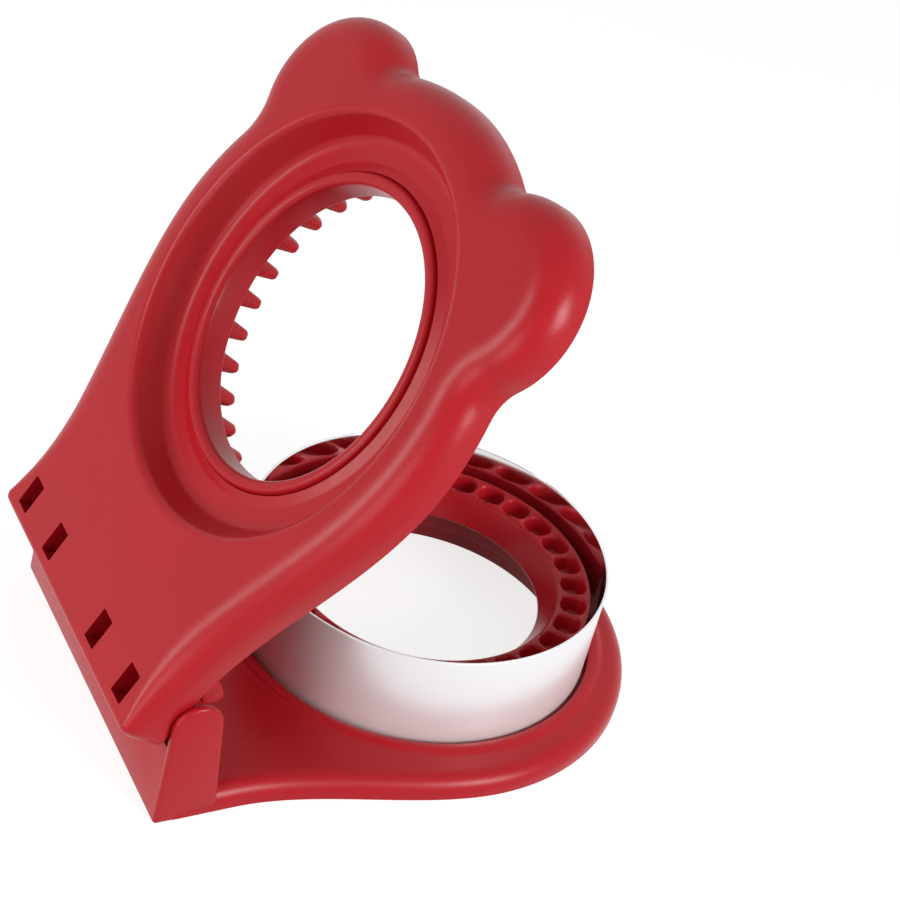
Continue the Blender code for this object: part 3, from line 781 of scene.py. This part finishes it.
@dataclass
class Base(Piece):
    """Base moulding: plate, groove for the band, inner tube and hinge block."""

    steps: int = 360
    height: float = 6.0 * MM
    head_radius: float = 57.8 * MM
    setback: float = 2.5 * MM
    edge_fillet: float = 4.0 * MM
    edge_steps: int = 8
    hinge_half: float = 45.0 * MM
    flare_start: float = 12.0 * MM
    rear: float = 7.15 * MM
    corner: float = 5.0 * MM
    lip_foot: float = 49.9 * MM
    lip_crest: float = 47.9 * MM
    lip_rise: float = 0.7 * MM
    groove_outer: float = 45.9 * MM
    groove_top: float = 5.7 * MM
    groove_floor: float = 2.0 * MM
    tube_outer: float = 44.1 * MM
    tube_inner: float = 41.0 * MM
    tube_top: float = 12.0 * MM
    foot_round: float = 0.4 * MM
    tube_round: float = 0.4 * MM
    hidden_round: float = 0.3 * MM
    ear_inner: float = 42.9 * MM
    ear_outer: float = 44.4 * MM
    ear_draft: float = 0.6 * MM
    ear_round: float = 5.9 * MM
    ear_round_z: float = 26.6 * MM
    outer_round: float = 0.9 * MM
    inner_round: float = 0.35 * MM
    block_back: float = 7.4 * MM
    block_front: float = 7.6 * MM
    back_wall_top: float = 23.5 * MM
    notch_floor: float = 19.0 * MM
    end_notch: float = 2.0 * MM
    end_notch_width: float = 2.8 * MM
    notch_half: float = 3.95 * MM

    def outline(self) -> Outline:
        """Draw the plate's outline.

        Returns:
            The outline.
        """
        centre_y = self.layout.ring_y - self.setback
        half = [(0.0, -self.rear)]
        half += arc(self.corner, -RIGHT_ANGLE, 0,
                    (self.hinge_half - self.corner, -self.rear + self.corner),
                    math.radians(10))
        half += swing((self.hinge_half, self.flare_start), (self.head_radius, centre_y))
        half += arc(self.head_radius, 0, RIGHT_ANGLE, (0, centre_y))[1:]
        half[-1] = (0.0, centre_y + self.head_radius)
        return Outline.from_half(half, (0, self.layout.ring_y), self.steps)

    def lip(self, steps: int = 8) -> list[Point]:
        """Draw the raised round lip of the groove, from the plate to the groove's edge.

        Args:
            steps: Stretches on each side of the crest.

        Returns:
            Points (radius, height).
        """
        points = []
        for i in range(steps + 1):
            share = i / steps
            points.append((self.lip_foot + (self.lip_crest - self.lip_foot) * share,
                           self.height + self.lip_rise * ease(share)))
        drop = self.height + self.lip_rise - self.groove_top
        for i in range(1, steps):
            turn = RIGHT_ANGLE * i / steps
            points.append((self.lip_crest + (self.groove_outer - self.lip_crest) * math.sin(turn),
                           self.groove_top + drop * math.cos(turn)))
        return points

    def plate(self) -> bpy.types.Object:
        """Loft the plate round the ring, from its foot over the top and back underneath.

        Returns:
            The plate.
        """
        outline = self.outline()
        wall = self.layout.wall
        loops = [outline.loop(0, self.foot_round), outline.loop(self.foot_round)]
        start = self.height - self.edge_fillet
        for i in range(self.edge_steps + 1):
            turn = RIGHT_ANGLE * i / self.edge_steps
            loops.append(outline.loop(start + self.edge_fillet * math.sin(turn),
                                      self.edge_fillet * (1 - math.cos(turn))))
        flat = outline.loop(self.height, self.edge_fillet + self.foot_round)
        loops.append(flat)
        bore = rounded([
            (self.groove_outer, self.groove_floor, 0),
            (self.tube_outer, self.groove_floor, 0),
            (self.tube_outer, self.tube_top, self.tube_round),
            (self.tube_inner, self.tube_top, self.tube_round),
            (self.tube_inner, 0, self.hidden_round),
            (self.groove_outer + wall, 0, self.hidden_round),
            (self.groove_outer + wall, self.height - wall, 0),
        ], COARSE_STEP)
        section = [(self.lip_foot + MM, self.height), *self.lip(), *bore]
        loops += [outline.circle(r, z, flat) for r, z in section]
        loops.append(outline.loop(self.height - wall, self.edge_fillet))
        loops.append(outline.loop(self.height - self.edge_fillet, wall))
        loops.append(outline.loop(0, wall))
        return Bench.loft("plate", loops, Ends.CLOSED_ROUND)

    def block(self) -> bpy.types.Object:
        """Cut the hinge block out of one drafted slab.

        Returns:
            The hinge block.
        """
        side = [(-self.block_back, 0.0), (self.block_front, 0.0)]
        side += arc(self.ear_round, 0, math.pi, (0, self.ear_round_z), math.radians(5))
        block = Bench.slab("hinge_block", side, -self.ear_outer, self.ear_outer)
        top = self.ear_round_z + self.ear_round
        for vert in block.data.vertices:
            vert.co.x += math.copysign(self.ear_draft * (1 - vert.co.z / top), vert.co.x)
        Bench.bevel(block, self.outer_round, 4)
        far = self.block_back + self.layout.overrun
        over = top + self.layout.overrun
        inner_back = self.ear_round - self.layout.wall
        floor = self.height - self.layout.wall / 2
        cuts = [((-inner_back, floor), (far, over), -self.ear_inner, self.ear_inner),
                ((-far, self.back_wall_top), (far, over), -self.ear_inner, self.ear_inner),
                ((-inner_back, -self.layout.overrun), (far, self.height - self.layout.wall),
                 -self.ear_inner, self.ear_inner)]
        for x in self.layout.hook_places:
            cuts.append(((-far, self.notch_floor), (0, over),
                         x - self.notch_half, x + self.notch_half))
        end = self.ear_inner - self.end_notch_width
        low = self.back_wall_top - self.end_notch
        cuts += [((-far, low), (0, over), -self.ear_inner, -end),
                 ((-far, low), (0, over), end, self.ear_inner)]
        for low_corner, high_corner, left, right in cuts:
            outline = [low_corner, (high_corner[0], low_corner[1]), high_corner,
                       (low_corner[0], high_corner[1])]
            Bench.combine(block, Bench.slab("cut", outline, left, right), "DIFFERENCE")
        Bench.bevel(block, self.inner_round, 2)
        return block

    def build(self) -> bpy.types.Object:
        """Model and dress the base.

        Returns:
            The finished base.
        """
        plate = self.plate()
        plate.name = self.name
        Bench.merge(plate, self.block())
        Bench.shade(plate)
        return self.dress(plate, self.layout.base_matrix())


@dataclass
class HingeRod(Piece):
    """Round bar that the lid's hooks clip onto."""

    radius: float = 3.8 * MM
    half_length: float = 43.5 * MM
    steps: int = 64
    chamfer: float = 0.5 * MM

    def build(self) -> bpy.types.Object:
        """Model and dress the rod.

        Returns:
            The finished rod.
        """
        outline = arc(self.radius, 0, math.tau, step=math.tau / self.steps)[:-1]
        rod = Bench.slab(self.name, outline, -self.half_length, self.half_length)
        Bench.bevel(rod, self.chamfer)
        Bench.shade(rod)
        return self.dress(rod, self.layout.base_matrix() @ Matrix.Translation(
            (0, 0, self.layout.hinge_z)))


@dataclass
class CutterBand(Piece):
    """Thin steel band with its lapped seam."""

    steps: int = 240
    radius: float = 45.0 * MM
    thickness: float = 0.6 * MM
    rim_z: float = 30.3 * MM
    foot_z: float = 2.3 * MM
    lap_angle: float = math.radians(-178.0)
    lap_length: float = 12.0 * MM
    lap_drop: float = 0.6 * MM

    def strip(self) -> bpy.types.Object:
        """Turn the strip, with its top edge rolled smooth.

        Returns:
            The strip.
        """
        inner = self.radius - self.thickness
        edge = self.thickness * 0.4
        held = edge * 2
        section = rounded([
            (self.radius, self.rim_z, edge), (self.radius, self.rim_z - held, 0),
            (self.radius, self.foot_z + held, 0), (self.radius, self.foot_z, 0),
            (inner, self.foot_z, 0), (inner, self.foot_z + held, 0),
            (inner, self.rim_z - held, 0), (inner, self.rim_z, edge),
        ], COARSE_STEP)
        return Bench.turn(self.name, section, self.layout.ring_centre(), self.steps)

    def lap(self) -> bpy.types.Object:
        """Bend the short tongue that laps over the seam.

        Returns:
            The tongue.
        """
        half = self.lap_length / self.radius / 2
        centre = (0.0, self.layout.ring_y)
        step = math.radians(1.5)
        outer = arc(self.radius + self.thickness, self.lap_angle - half,
                    self.lap_angle + half, centre, step)
        inner = arc(self.radius - self.thickness / 4, self.lap_angle + half,
                    self.lap_angle - half, centre, step)
        low = self.foot_z + self.lap_drop
        loop = [Vector((x, y, low)) for x, y in outer + inner]
        lap = Bench.draw("lap", loop, filled=True)
        bpy.ops.mesh.extrude_region_move(TRANSFORM_OT_translate={
            "value": (0, 0, self.rim_z - self.lap_drop - low)})
        Bench.tidy(lap)
        Bench.bevel(lap, self.thickness / 4, 2)
        return lap

    def build(self) -> bpy.types.Object:
        """Model and dress the band.

        Returns:
            The finished band.
        """
        band = self.strip()
        Bench.merge(band, self.lap())
        Bench.shade(band)
        return self.dress(band, self.layout.base_matrix())


@dataclass
class CrimpRing(Piece):
    """Ring of round cups inside the band."""

    steps: int = 960
    radius: float = 42.4 * MM
    top_z: float = 22.6 * MM
    rim: float = 0.9 * MM
    inner_rim: float = 34.4 * MM
    inner_rim_drop: float = 0.5 * MM
    shoulder: float = 2.2 * MM
    bore: float = 30.4 * MM
    bore_drop: float = 7.0 * MM
    bore_round: float = 0.4 * MM
    throat_round: float = 0.6 * MM
    under_z: float = 15.0 * MM
    seat_z: float = 12.3 * MM
    spigot_outer: float = 40.7 * MM
    spigot_inner: float = 39.2 * MM
    spigot_foot: float = 5.0 * MM
    spigot_round: float = 0.3 * MM
    seat_round: float = 0.2 * MM
    top_points: int = 26
    cups: int = 30
    cup_phase: float = math.radians(6.0)
    cup_centre: float = 38.3 * MM
    cup_radius: float = 3.45 * MM
    cup_share: float = 0.465
    cup_power: float = 2.6
    cup_wall: float = 1.25 * MM
    cup_floor_z: float = 17.6 * MM
    bowl_dip: float = 0.22
    ridge_drop: float = 0.3 * MM

    def section(self) -> list[Point]:
        """Draw the ring's section, with close points where the cups are pressed in.

        Returns:
            Points (radius, height).
        """
        ring = rounded([
            (self.radius, self.top_z, self.rim / 2),
            (self.radius, self.seat_z, self.seat_round),
            (self.spigot_outer, self.seat_z, 0),
            (self.spigot_outer, self.spigot_foot, self.spigot_round),
            (self.spigot_inner, self.spigot_foot, self.spigot_round),
            (self.spigot_inner, self.under_z, 0),
            (self.bore, self.under_z, self.bore_round),
            (self.bore, self.top_z - self.bore_drop, self.throat_round),
            (self.inner_rim, self.top_z - self.inner_rim_drop, self.shoulder),
        ], FINE_STEP)
        inner, inner_z = ring[-1]
        outer = self.radius - self.rim
        slope = []
        for i in range(1, self.top_points + 1):
            share = i / self.top_points
            slope.append((inner + (outer - inner) * share,
                          inner_z + (self.top_z - inner_z) * share))
        return ring + slope

    def cup_depth(self, place: Vector) -> float:
        """Say how deep the cups are pressed in at a place on the top.

        Args:
            place: A point in the ring's own coordinates.

        Returns:
            Share of the full depth, from zero to one.
        """
        radius = math.hypot(place.x, place.y)
        pitch = math.tau / self.cups
        turn = math.remainder(math.atan2(place.y, place.x) - self.cup_phase, pitch)
        across = abs(radius - self.cup_centre) / self.cup_radius
        along = abs(turn) / (pitch * self.cup_share)
        away = (across ** self.cup_power + along ** self.cup_power) ** (1 / self.cup_power)
        wall = ease((1 - away) * self.cup_radius / self.cup_wall)
        bowl = 1 - self.bowl_dip * min(away, 1.0) ** 2
        return wall * bowl

    def ridge_depth(self, place: Vector) -> float:
        """Say how far the ridges between the cups sink below the rims at a place.

        Args:
            place: A point in the ring's own coordinates.

        Returns:
            The depth.
        """
        away = abs(math.hypot(place.x, place.y) - self.cup_centre) / self.cup_radius
        return self.ridge_drop * ease((1 - away) * 2)

    def build(self) -> bpy.types.Object:
        """Model and dress the crimp ring.

        Returns:
            The finished crimp ring.
        """
        ring = Bench.turn(self.name, self.section(), Vector((0, 0, 0)), self.steps)
        high_r = self.radius - self.rim + MM / 10
        for vert in ring.data.vertices:
            radius = math.hypot(vert.co.x, vert.co.y)
            if self.inner_rim < radius < high_r and vert.co.z > self.under_z + MM:
                depth = self.cup_depth(vert.co)
                vert.co.z -= self.ridge_depth(vert.co)
                vert.co.z += (self.cup_floor_z - vert.co.z) * depth
        Bench.shade(ring, math.radians(60))
        return self.dress(ring, self.layout.base_matrix() @ Matrix.Translation(
            self.layout.ring_centre()))


@dataclass
class Lid(Piece):
    """Eared cover with its sunk well, windows and snap hooks."""

    steps: int = 420
    top: float = 15.56 * MM
    skirt: float = 4.5 * MM
    hinge_half: float = 42.5 * MM
    flare_start: float = 2.0 * MM
    head_radius: float = 59.9 * MM
    corner: float = 2.8 * MM
    rear: float = 7.872 * MM
    edge_rear: Point = (2.2 * MM, 5.5 * MM)
    edge_head: Point = (9.3 * MM, 9.0 * MM)
    edge_ramp: float = 26.0 * MM
    edge_bend: float = 1.6
    edge_power: float = 2.4
    edge_steps: int = 14
    ear_angle: float = math.radians(43.9)
    ear_radius: float = 21.3 * MM
    ear_standout: float = 15.8 * MM
    low_notch: float = 10.0 * MM
    top_notch: float = 6.0 * MM
    well_mouth: float = 48.5 * MM
    well_floor: float = 7.2 * MM
    well_slope: float = 3.4 * MM
    mouth_landing: float = 1.75 * MM
    mouth_fillet: float = 2.4 * MM
    floor_fillet: float = 3.0 * MM
    under_fillet: float = 1.5 * MM
    hole: float = 37.35 * MM
    hole_round: float = 0.15 * MM
    hole_foot_round: float = 0.2 * MM
    seat_width: float = 2.4 * MM
    seat_rise: float = 0.9 * MM
    seat_fillet: float = 2.0 * MM
    flat_start: float = 0.1 * MM
    window_width: float = 5.1 * MM
    window_length: float = 8.0 * MM
    small_round: float = 0.35 * MM
    hook_width: float = 5.5 * MM
    hook_root: float = 0.6 * MM
    hook_step: float = math.radians(6)
    hook_bore: float = 4.1 * MM
    hook_leg: float = 3.1 * MM
    jaw_standout: float = 5.1 * MM
    jaw_tip_thickness: float = 3.4 * MM
    jaw_angles: tuple[float, float, float] = (math.radians(-20), math.radians(-56),
                                              math.radians(-63))
    rear_tip: float = math.radians(193)
    cheek_inner: float = 2.65 * MM
    cheek_wall: float = 0.8 * MM
    cheek_start: float = math.radians(10)
    cheek_root: float = 0.5 * MM
    cheek_margin: float = 1.0 * MM

    @staticmethod
    def crossing(first: Point, first_radius: float, second: Point, second_radius: float
                 ) -> Point:
        """Find where two circles cross, on the right of the line between their centres.

        Args:
            first: Centre of the first circle.
            first_radius: Radius of the first circle.
            second: Centre of the second circle.
            second_radius: Radius of the second circle.

        Returns:
            The crossing point.
        """
        dx, dy = second[0] - first[0], second[1] - first[1]
        length = math.hypot(dx, dy)
        along = (first_radius ** 2 - second_radius ** 2 + length ** 2) / (2 * length)
        across = math.sqrt(first_radius ** 2 - along ** 2)
        return (first[0] + (along * dx + across * dy) / length,
                first[1] + (along * dy - across * dx) / length)

    def outline(self) -> Outline:
        """Draw the eared outline.

        Returns:
            The outline.
        """
        def bearing(start: Point, end: Point) -> float:
            """Give the direction from one point to another."""
            return math.atan2(end[1] - start[1], end[0] - start[0])

        middle = (0.0, self.layout.ring_y)
        lobe = polar(self.head_radius + self.ear_standout - self.ear_radius, self.ear_angle,
                     middle)
        low = self.crossing(middle, self.head_radius + self.low_notch, lobe,
                            self.ear_radius + self.low_notch)
        high = self.crossing(lobe, self.ear_radius + self.top_notch, middle,
                             self.head_radius + self.top_notch)
        half = [(0.0, -self.rear)]
        half += arc(self.corner, -RIGHT_ANGLE, 0,
                    (self.hinge_half - self.corner, -self.rear + self.corner))
        half += swing((self.hinge_half, self.flare_start),
                      (self.head_radius, self.layout.ring_y))
        half += arc(self.head_radius, 0, bearing(middle, low), middle)[1:]
        half += arc(self.low_notch, bearing(middle, low) + math.pi,
                    bearing(lobe, low) + math.pi, low)[1:]
        half += arc(self.ear_radius, bearing(lobe, low), bearing(lobe, high), lobe)[1:]
        half += arc(self.top_notch, bearing(lobe, high) - math.pi,
                    bearing(middle, high) - math.pi, high)[1:]
        half += arc(self.head_radius, bearing(middle, high), RIGHT_ANGLE, middle)[1:]
        half[-1] = (0.0, self.layout.ring_y + self.head_radius)
        return Outline.from_half(half, middle, self.steps)

    def edge(self, point: Vector) -> Point:
        """Say how wide and how high the soft edge is at a point of the outline.

        Args:
            point: A point of the outline.

        Returns:
            Width and rise.
        """
        along = (point.y + self.rear - self.corner) / self.edge_ramp
        share = 1 - (1 - min(max(along, 0.0), 1.0)) ** self.edge_bend
        width, rise = (rear + (head - rear) * share
                       for rear, head in zip(self.edge_rear, self.edge_head))
        return width, rise

    def rounding(self, outline: Outline, inset: float, top: float) -> list[list[Vector]]:
        """Draw the loops of the soft edge from its foot to the flat.

        Args:
            outline: The lid's outline.
            inset: How far inside the outline, and below it, the rounding runs.
            top: Height of the flat above it.

        Returns:
            The loops in order.
        """
        loops = []
        for i in range(self.edge_steps + 1):
            turn = RIGHT_ANGLE * i / self.edge_steps
            across = 1 - max(math.cos(turn), 0.0) ** (2 / self.edge_power)
            below = 1 - math.sin(turn) ** (2 / self.edge_power)
            loops.append(outline.loop(
                lambda point, below=below: top - (self.edge(point)[1] - inset) * below,
                lambda point, across=across: inset + (self.edge(point)[0] - inset) * across))
        return loops

    def well(self) -> list[Point]:
        """Draw the section of the well from its mouth to the hole and back underneath.

        Returns:
            Points (radius, height).
        """
        wall = self.layout.wall
        lean = self.well_slope / (self.top - self.well_floor)
        ceiling = self.top - wall
        return rounded([
            (self.well_mouth + self.mouth_landing, self.top, 0),
            (self.well_mouth, self.top, self.mouth_fillet),
            (self.well_mouth - self.well_slope, self.well_floor, self.floor_fillet),
            (self.hole + self.seat_width, self.well_floor, self.seat_fillet),
            (self.hole, self.well_floor + self.seat_rise, self.hole_round),
            (self.hole, self.well_floor - wall, self.hole_foot_round),
            (self.well_mouth - self.well_slope, self.well_floor - wall, self.under_fillet),
            (self.well_mouth - self.well_slope + wall + lean * (ceiling - self.well_floor),
             ceiling, 0),
        ], FINE_STEP)

    def shell(self) -> bpy.types.Object:
        """Loft the shell round the well, from the skirt over the top and back underneath.

        Returns:
            The shell.
        """
        outline = self.outline()
        wall = self.layout.wall
        ceiling = self.top - wall
        soft = self.small_round
        loops = [outline.loop(self.skirt, soft), outline.loop(self.skirt + soft)]
        loops += self.rounding(outline, 0, self.top)
        flat = outline.loop(self.top, lambda point: self.edge(point)[0] + self.flat_start)
        loops.append(flat)
        loops += [outline.circle(r, z, flat) for r, z in self.well()]
        loops += reversed(self.rounding(outline, wall, ceiling))
        loops.append(outline.loop(self.skirt, wall))
        return Bench.loft("shell", loops, Ends.CLOSED_ROUND)

    def windows(self) -> list[bpy.types.Object]:
        """Make the four blocks that cut the windows over the hooks.

        Returns:
            The blocks.
        """
        blocks = []
        low = self.top - self.layout.wall - self.layout.overrun
        for x in self.layout.hook_places:
            half = self.window_length / 2
            outline = [(-half, low), (half, low), (half, self.top + self.layout.overrun),
                       (-half, self.top + self.layout.overrun)]
            block = Bench.slab("window", outline, x - self.window_width / 2,
                               x + self.window_width / 2)
            Bench.bevel(block, self.small_round, 2)
            blocks.append(block)
        return blocks

    def hooks(self) -> list[bpy.types.Object]:
        """Model the front jaw, rear leg and cheeks of each snap hook.

        Returns:
            The parts of all the hooks.
        """
        root = self.top - self.layout.wall + self.hook_root
        front = self.hook_bore + self.hook_leg
        start, end, tip = self.jaw_angles
        jaw = [(self.hook_bore, root), (front, root), (front, 0.0)]
        jaw += arc(self.hook_bore + self.jaw_standout, start, end, step=self.hook_step)
        jaw.append(polar(self.hook_bore + self.jaw_tip_thickness, tip))
        jaw += arc(self.hook_bore, tip, 0, step=self.hook_step)
        rear = self.rear - self.layout.wall + self.layout.gap
        leg = [(-self.hook_bore, root), (-self.hook_bore, 0.0),
               polar(self.hook_bore, self.rear_tip), polar(rear, self.rear_tip),
               (-rear, 0.0), (-rear, root)]
        made = []
        for x in self.layout.hook_places:
            for part, outline in (("jaw", jaw), ("leg", leg)):
                hook = Bench.slab(f"hook_{part}", outline, x - self.hook_width / 2,
                                  x + self.hook_width / 2)
                Bench.bevel(hook, self.small_round, 2)
                made.append(hook)
            for side in (-1, 1):
                made.append(Bench.slab("hook_cheek", self.cheek(),
                                       x + side * self.cheek_inner,
                                       x + side * (self.cheek_inner + self.cheek_wall)))
        return made

    def cheek(self) -> list[Point]:
        """Draw the thin cheek that closes a hook's side between its jaw and its leg.

        Returns:
            Points (y, z) of the cheek.
        """
        root = self.top - self.layout.wall + self.cheek_root
        side = self.hook_bore + self.cheek_margin
        foot = self.hook_bore * math.sin(self.cheek_start)
        outline = [(side, root), (side, foot)]
        outline += arc(self.hook_bore, self.cheek_start, math.pi - self.cheek_start)
        outline += [(-side, foot), (-side, root)]
        return outline

    def build(self) -> bpy.types.Object:
        """Model and dress the lid.

        Returns:
            The finished lid.
        """
        shell = self.shell()
        shell.name = self.name
        for block in self.windows():
            Bench.combine(shell, block, "DIFFERENCE")
        Bench.merge(shell, *self.hooks())
        Bench.shade(shell)
        return self.dress(shell, self.layout.lid_matrix())


@dataclass
class PressRing(Piece):
    """Toothed ring under the lid's opening."""

    steps: int = 240
    opening: float = 34.0 * MM
    collar_outer: float = 37.2 * MM
    lip_z: float = 9.25 * MM
    bottom: float = 1.3 * MM
    floor: float = 3.3 * MM
    outer: float = 41.6 * MM
    rim_z: float = 4.9 * MM
    wall: float = 2.0 * MM
    collar_fillet: float = 1.2 * MM
    mouth_fillet: float = 1.8 * MM
    body_round: float = 0.5 * MM
    rim_round: float = 0.3 * MM
    teeth: int = 30
    tooth_phase: float = math.radians(6.0)
    tooth_tip_z: float = -6.6 * MM
    tooth_middle: float = 38.85 * MM
    tooth_root: Point = (4.8 * MM, 5.8 * MM)
    tooth_tip: Point = (3.0 * MM, 2.6 * MM)
    tooth_points: int = 24
    tooth_stages: int = 5
    tooth_body: float = 0.86
    tooth_blunt: float = 0.45
    tooth_corner: float = 0.7
    tip_round: float = 1.3 * MM

    def ring(self) -> bpy.types.Object:
        """Turn the collar, floor and outer wall.

        Returns:
            The ring without its teeth.
        """
        section = rounded([
            (self.collar_outer, self.lip_z, self.collar_fillet),
            (self.collar_outer, self.floor, self.body_round),
            (self.outer - self.wall, self.floor, self.body_round),
            (self.outer - self.wall, self.rim_z, self.rim_round),
            (self.outer, self.rim_z, self.rim_round),
            (self.outer, self.bottom, self.body_round),
            (self.opening, self.bottom, self.body_round),
            (self.opening, self.lip_z, self.mouth_fillet),
        ])
        return Bench.turn(self.name, section, self.layout.ring_centre(), self.steps)

    def tooth_loop(self, share: float, height: float, shrink: float) -> list[Vector]:
        """Draw one rounded loop of a tooth.

        Args:
            share: Zero at the root and one at the tip.
            height: Height of the loop.
            shrink: Factor that draws the loop in at the rounded tip.

        Returns:
            The loop's points.
        """
        length = (self.tooth_root[0] + (self.tooth_tip[0] - self.tooth_root[0]) * share) / 2
        width = (self.tooth_root[1] + (self.tooth_tip[1] - self.tooth_root[1]) * share) / 2
        loop = []
        for i in range(self.tooth_points):
            angle = math.tau * i / self.tooth_points
            across, along = (math.copysign(abs(side) ** self.tooth_corner, side)
                             for side in (math.cos(angle), math.sin(angle)))
            loop.append(Vector((self.tooth_middle + across * length * shrink,
                                self.layout.ring_y + along * width * shrink, height)))
        return loop

    def tooth_ring(self) -> bpy.types.Object:
        """Model one tooth and spin its copies round the ring.

        Returns:
            All the teeth.
        """
        root = self.bottom + MM
        body_end = self.tooth_tip_z + self.tip_round
        stages = [i / self.tooth_stages for i in range(self.tooth_stages + 1)]
        loops = [self.tooth_loop(share * self.tooth_body, root + (body_end - root) * share, 1.0)
                 for share in stages]
        for share in stages[1:]:
            turn = RIGHT_ANGLE * share
            loops.append(self.tooth_loop(
                self.tooth_body + (1 - self.tooth_body) * share,
                body_end - self.tip_round * math.sin(turn),
                self.tooth_blunt + (1 - self.tooth_blunt) * math.cos(turn)))
        tooth = Bench.loft("teeth", loops, Ends.CAPPED)
        Bench.take(tooth)
        bpy.ops.object.mode_set(mode="EDIT")
        bpy.ops.mesh.select_all(action="SELECT")
        centre = self.layout.ring_centre()
        bpy.ops.transform.rotate(value=-self.tooth_phase, orient_axis="Z",
                                 center_override=centre)
        bpy.ops.mesh.spin(steps=self.teeth - 1, dupli=True, center=centre, axis=(0, 0, 1),
                          angle=math.tau * (self.teeth - 1) / self.teeth)
        Bench.tidy(tooth)
        return tooth

    def build(self) -> bpy.types.Object:
        """Model and dress the press ring.

        Returns:
            The finished press ring.
        """
        ring = self.ring()
        Bench.merge(ring, self.tooth_ring())
        Bench.shade(ring, math.radians(50))
        return self.dress(ring, self.layout.lid_matrix())


@dataclass(frozen=True)
class Lamp:
    """Soft lamp with a flat face."""

    name: str
    place: tuple[float, float, float]
    width: float
    height: float
    power: float

    def hang(self, target: Vector) -> None:
        """Hang the lamp in its place.

        Args:
            target: Point that it looks at.
        """
        Bench.clear()
        bpy.ops.object.light_add(type="AREA", location=self.place)
        lamp = bpy.context.object
        lamp.name = self.name
        lamp.data.shape = "RECTANGLE"
        lamp.data.size = self.width
        lamp.data.size_y = self.height
        lamp.data.energy = self.power
        aim = target - Vector(self.place)
        lamp.rotation_euler = aim.to_track_quat("-Z", "Y").to_euler()


@dataclass
class Studio:
    """Pale floor, soft lamps and the photograph's camera."""

    lens: float = 79.91
    sensor: float = 36.0
    camera_place: tuple[float, float, float] = (0.3205766, -0.1498124, 0.3263202)
    camera_right: tuple[float, float, float] = (0.443120, 0.872412, 0.206258)
    camera_up: tuple[float, float, float] = (-0.590527, 0.110958, 0.799354)
    camera_back: tuple[float, float, float] = (0.674480, -0.476011, 0.564350)
    floor_size: float = 6.0
    world_strength: float = 0.35
    target: tuple[float, float, float] = (0, 0, 0.06)
    lamps: tuple[Lamp, ...] = (
        Lamp("strip_lamp", (-0.12, -0.68, 0.27), 0.16, 0.55, 2.4),
        Lamp("near_lamp", (0.30, -0.60, 0.15), 0.30, 0.30, 0.9),
        Lamp("side_lamp", (0.70, 0.25, 0.35), 0.30, 0.30, 4.4),
    )

    def camera(self, layout: Layout) -> None:
        """Set the camera at the photograph's place and angle.

        Args:
            layout: Where the hinge is.
        """
        bpy.ops.object.camera_add()
        camera = bpy.context.object
        camera.name = "photo_camera"
        camera.data.lens = self.lens
        camera.data.sensor_width = self.sensor
        matrix = Matrix.Identity(4)
        columns = (self.camera_right, self.camera_up, self.camera_back)
        for column, axis in enumerate(columns):
            for row, part in enumerate(axis):
                matrix[row][column] = part
        place = Vector(self.camera_place) + Vector((0, layout.hinge_y, 0))
        camera.matrix_world = Matrix.Translation(place) @ matrix
        bpy.context.scene.camera = camera

    def floor(self) -> None:
        """Lay the floor."""
        Bench.clear()
        bpy.ops.mesh.primitive_plane_add(size=self.floor_size, location=(0, 0, 0))
        floor = bpy.context.object
        floor.name = "floor"
        floor.data.materials.append(PaleFloor().material())

    def world(self) -> None:
        """Light the object evenly and show a white background."""
        world = bpy.data.worlds.new("studio")
        bpy.context.scene.world = world
        shader = Shader(world)
        level = shader.mix(shader.background_rays(), (self.world_strength,) * 3, WHITE)
        surface = shader.add("ShaderNodeBackground", None, {"Color": level, "Strength": 1.0})
        shader.finish(surface, "ShaderNodeOutputWorld")

    def build(self, layout: Layout) -> None:
        """Set up the whole studio.

        Args:
            layout: Where the hinge is.
        """
        self.camera(layout)
        self.floor()
        self.world()
        for lamp in self.lamps:
            lamp.hang(Vector(self.target))
        bpy.context.scene.view_settings.view_transform = "Standard"


def main() -> None:
    """Build every piece in order and report it."""
    logging.basicConfig(level=logging.INFO, format="%(message)s")
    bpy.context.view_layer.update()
    layout = Layout()
    Studio().build(layout)
    red = Slot.RED
    middle = CutterBand.radius - CutterBand.thickness / 2
    pieces = (
        Base("base_moulding", "base", Body.BASE, red, layout, MouldedPlastic("base_red")),
        CutterBand("steel_band", "cutter_band", Body.BASE, Slot.STEEL, layout,
                   RolledSteel("band_steel", layout.hinge_y + layout.ring_y, middle)),
        CrimpRing("cup_ring", "crimp_ring", Body.BASE, red, layout,
                  MouldedPlastic("cup_ring_red", roughness=0.30)),
        HingeRod("rod", "hinge_rod", Body.BASE, red, layout, MouldedPlastic("rod_red")),
        Lid("lid_cover", "lid", Body.LID, red, layout, MouldedPlastic("lid_red")),
        PressRing("toothed_ring", "press_ring", Body.LID, red, layout,
                  MouldedPlastic("toothed_ring_red")),
    )
    for piece in pieces:
        piece.build()
    bpy.context.view_layer.update()


if __name__ == "__main__":
    main()
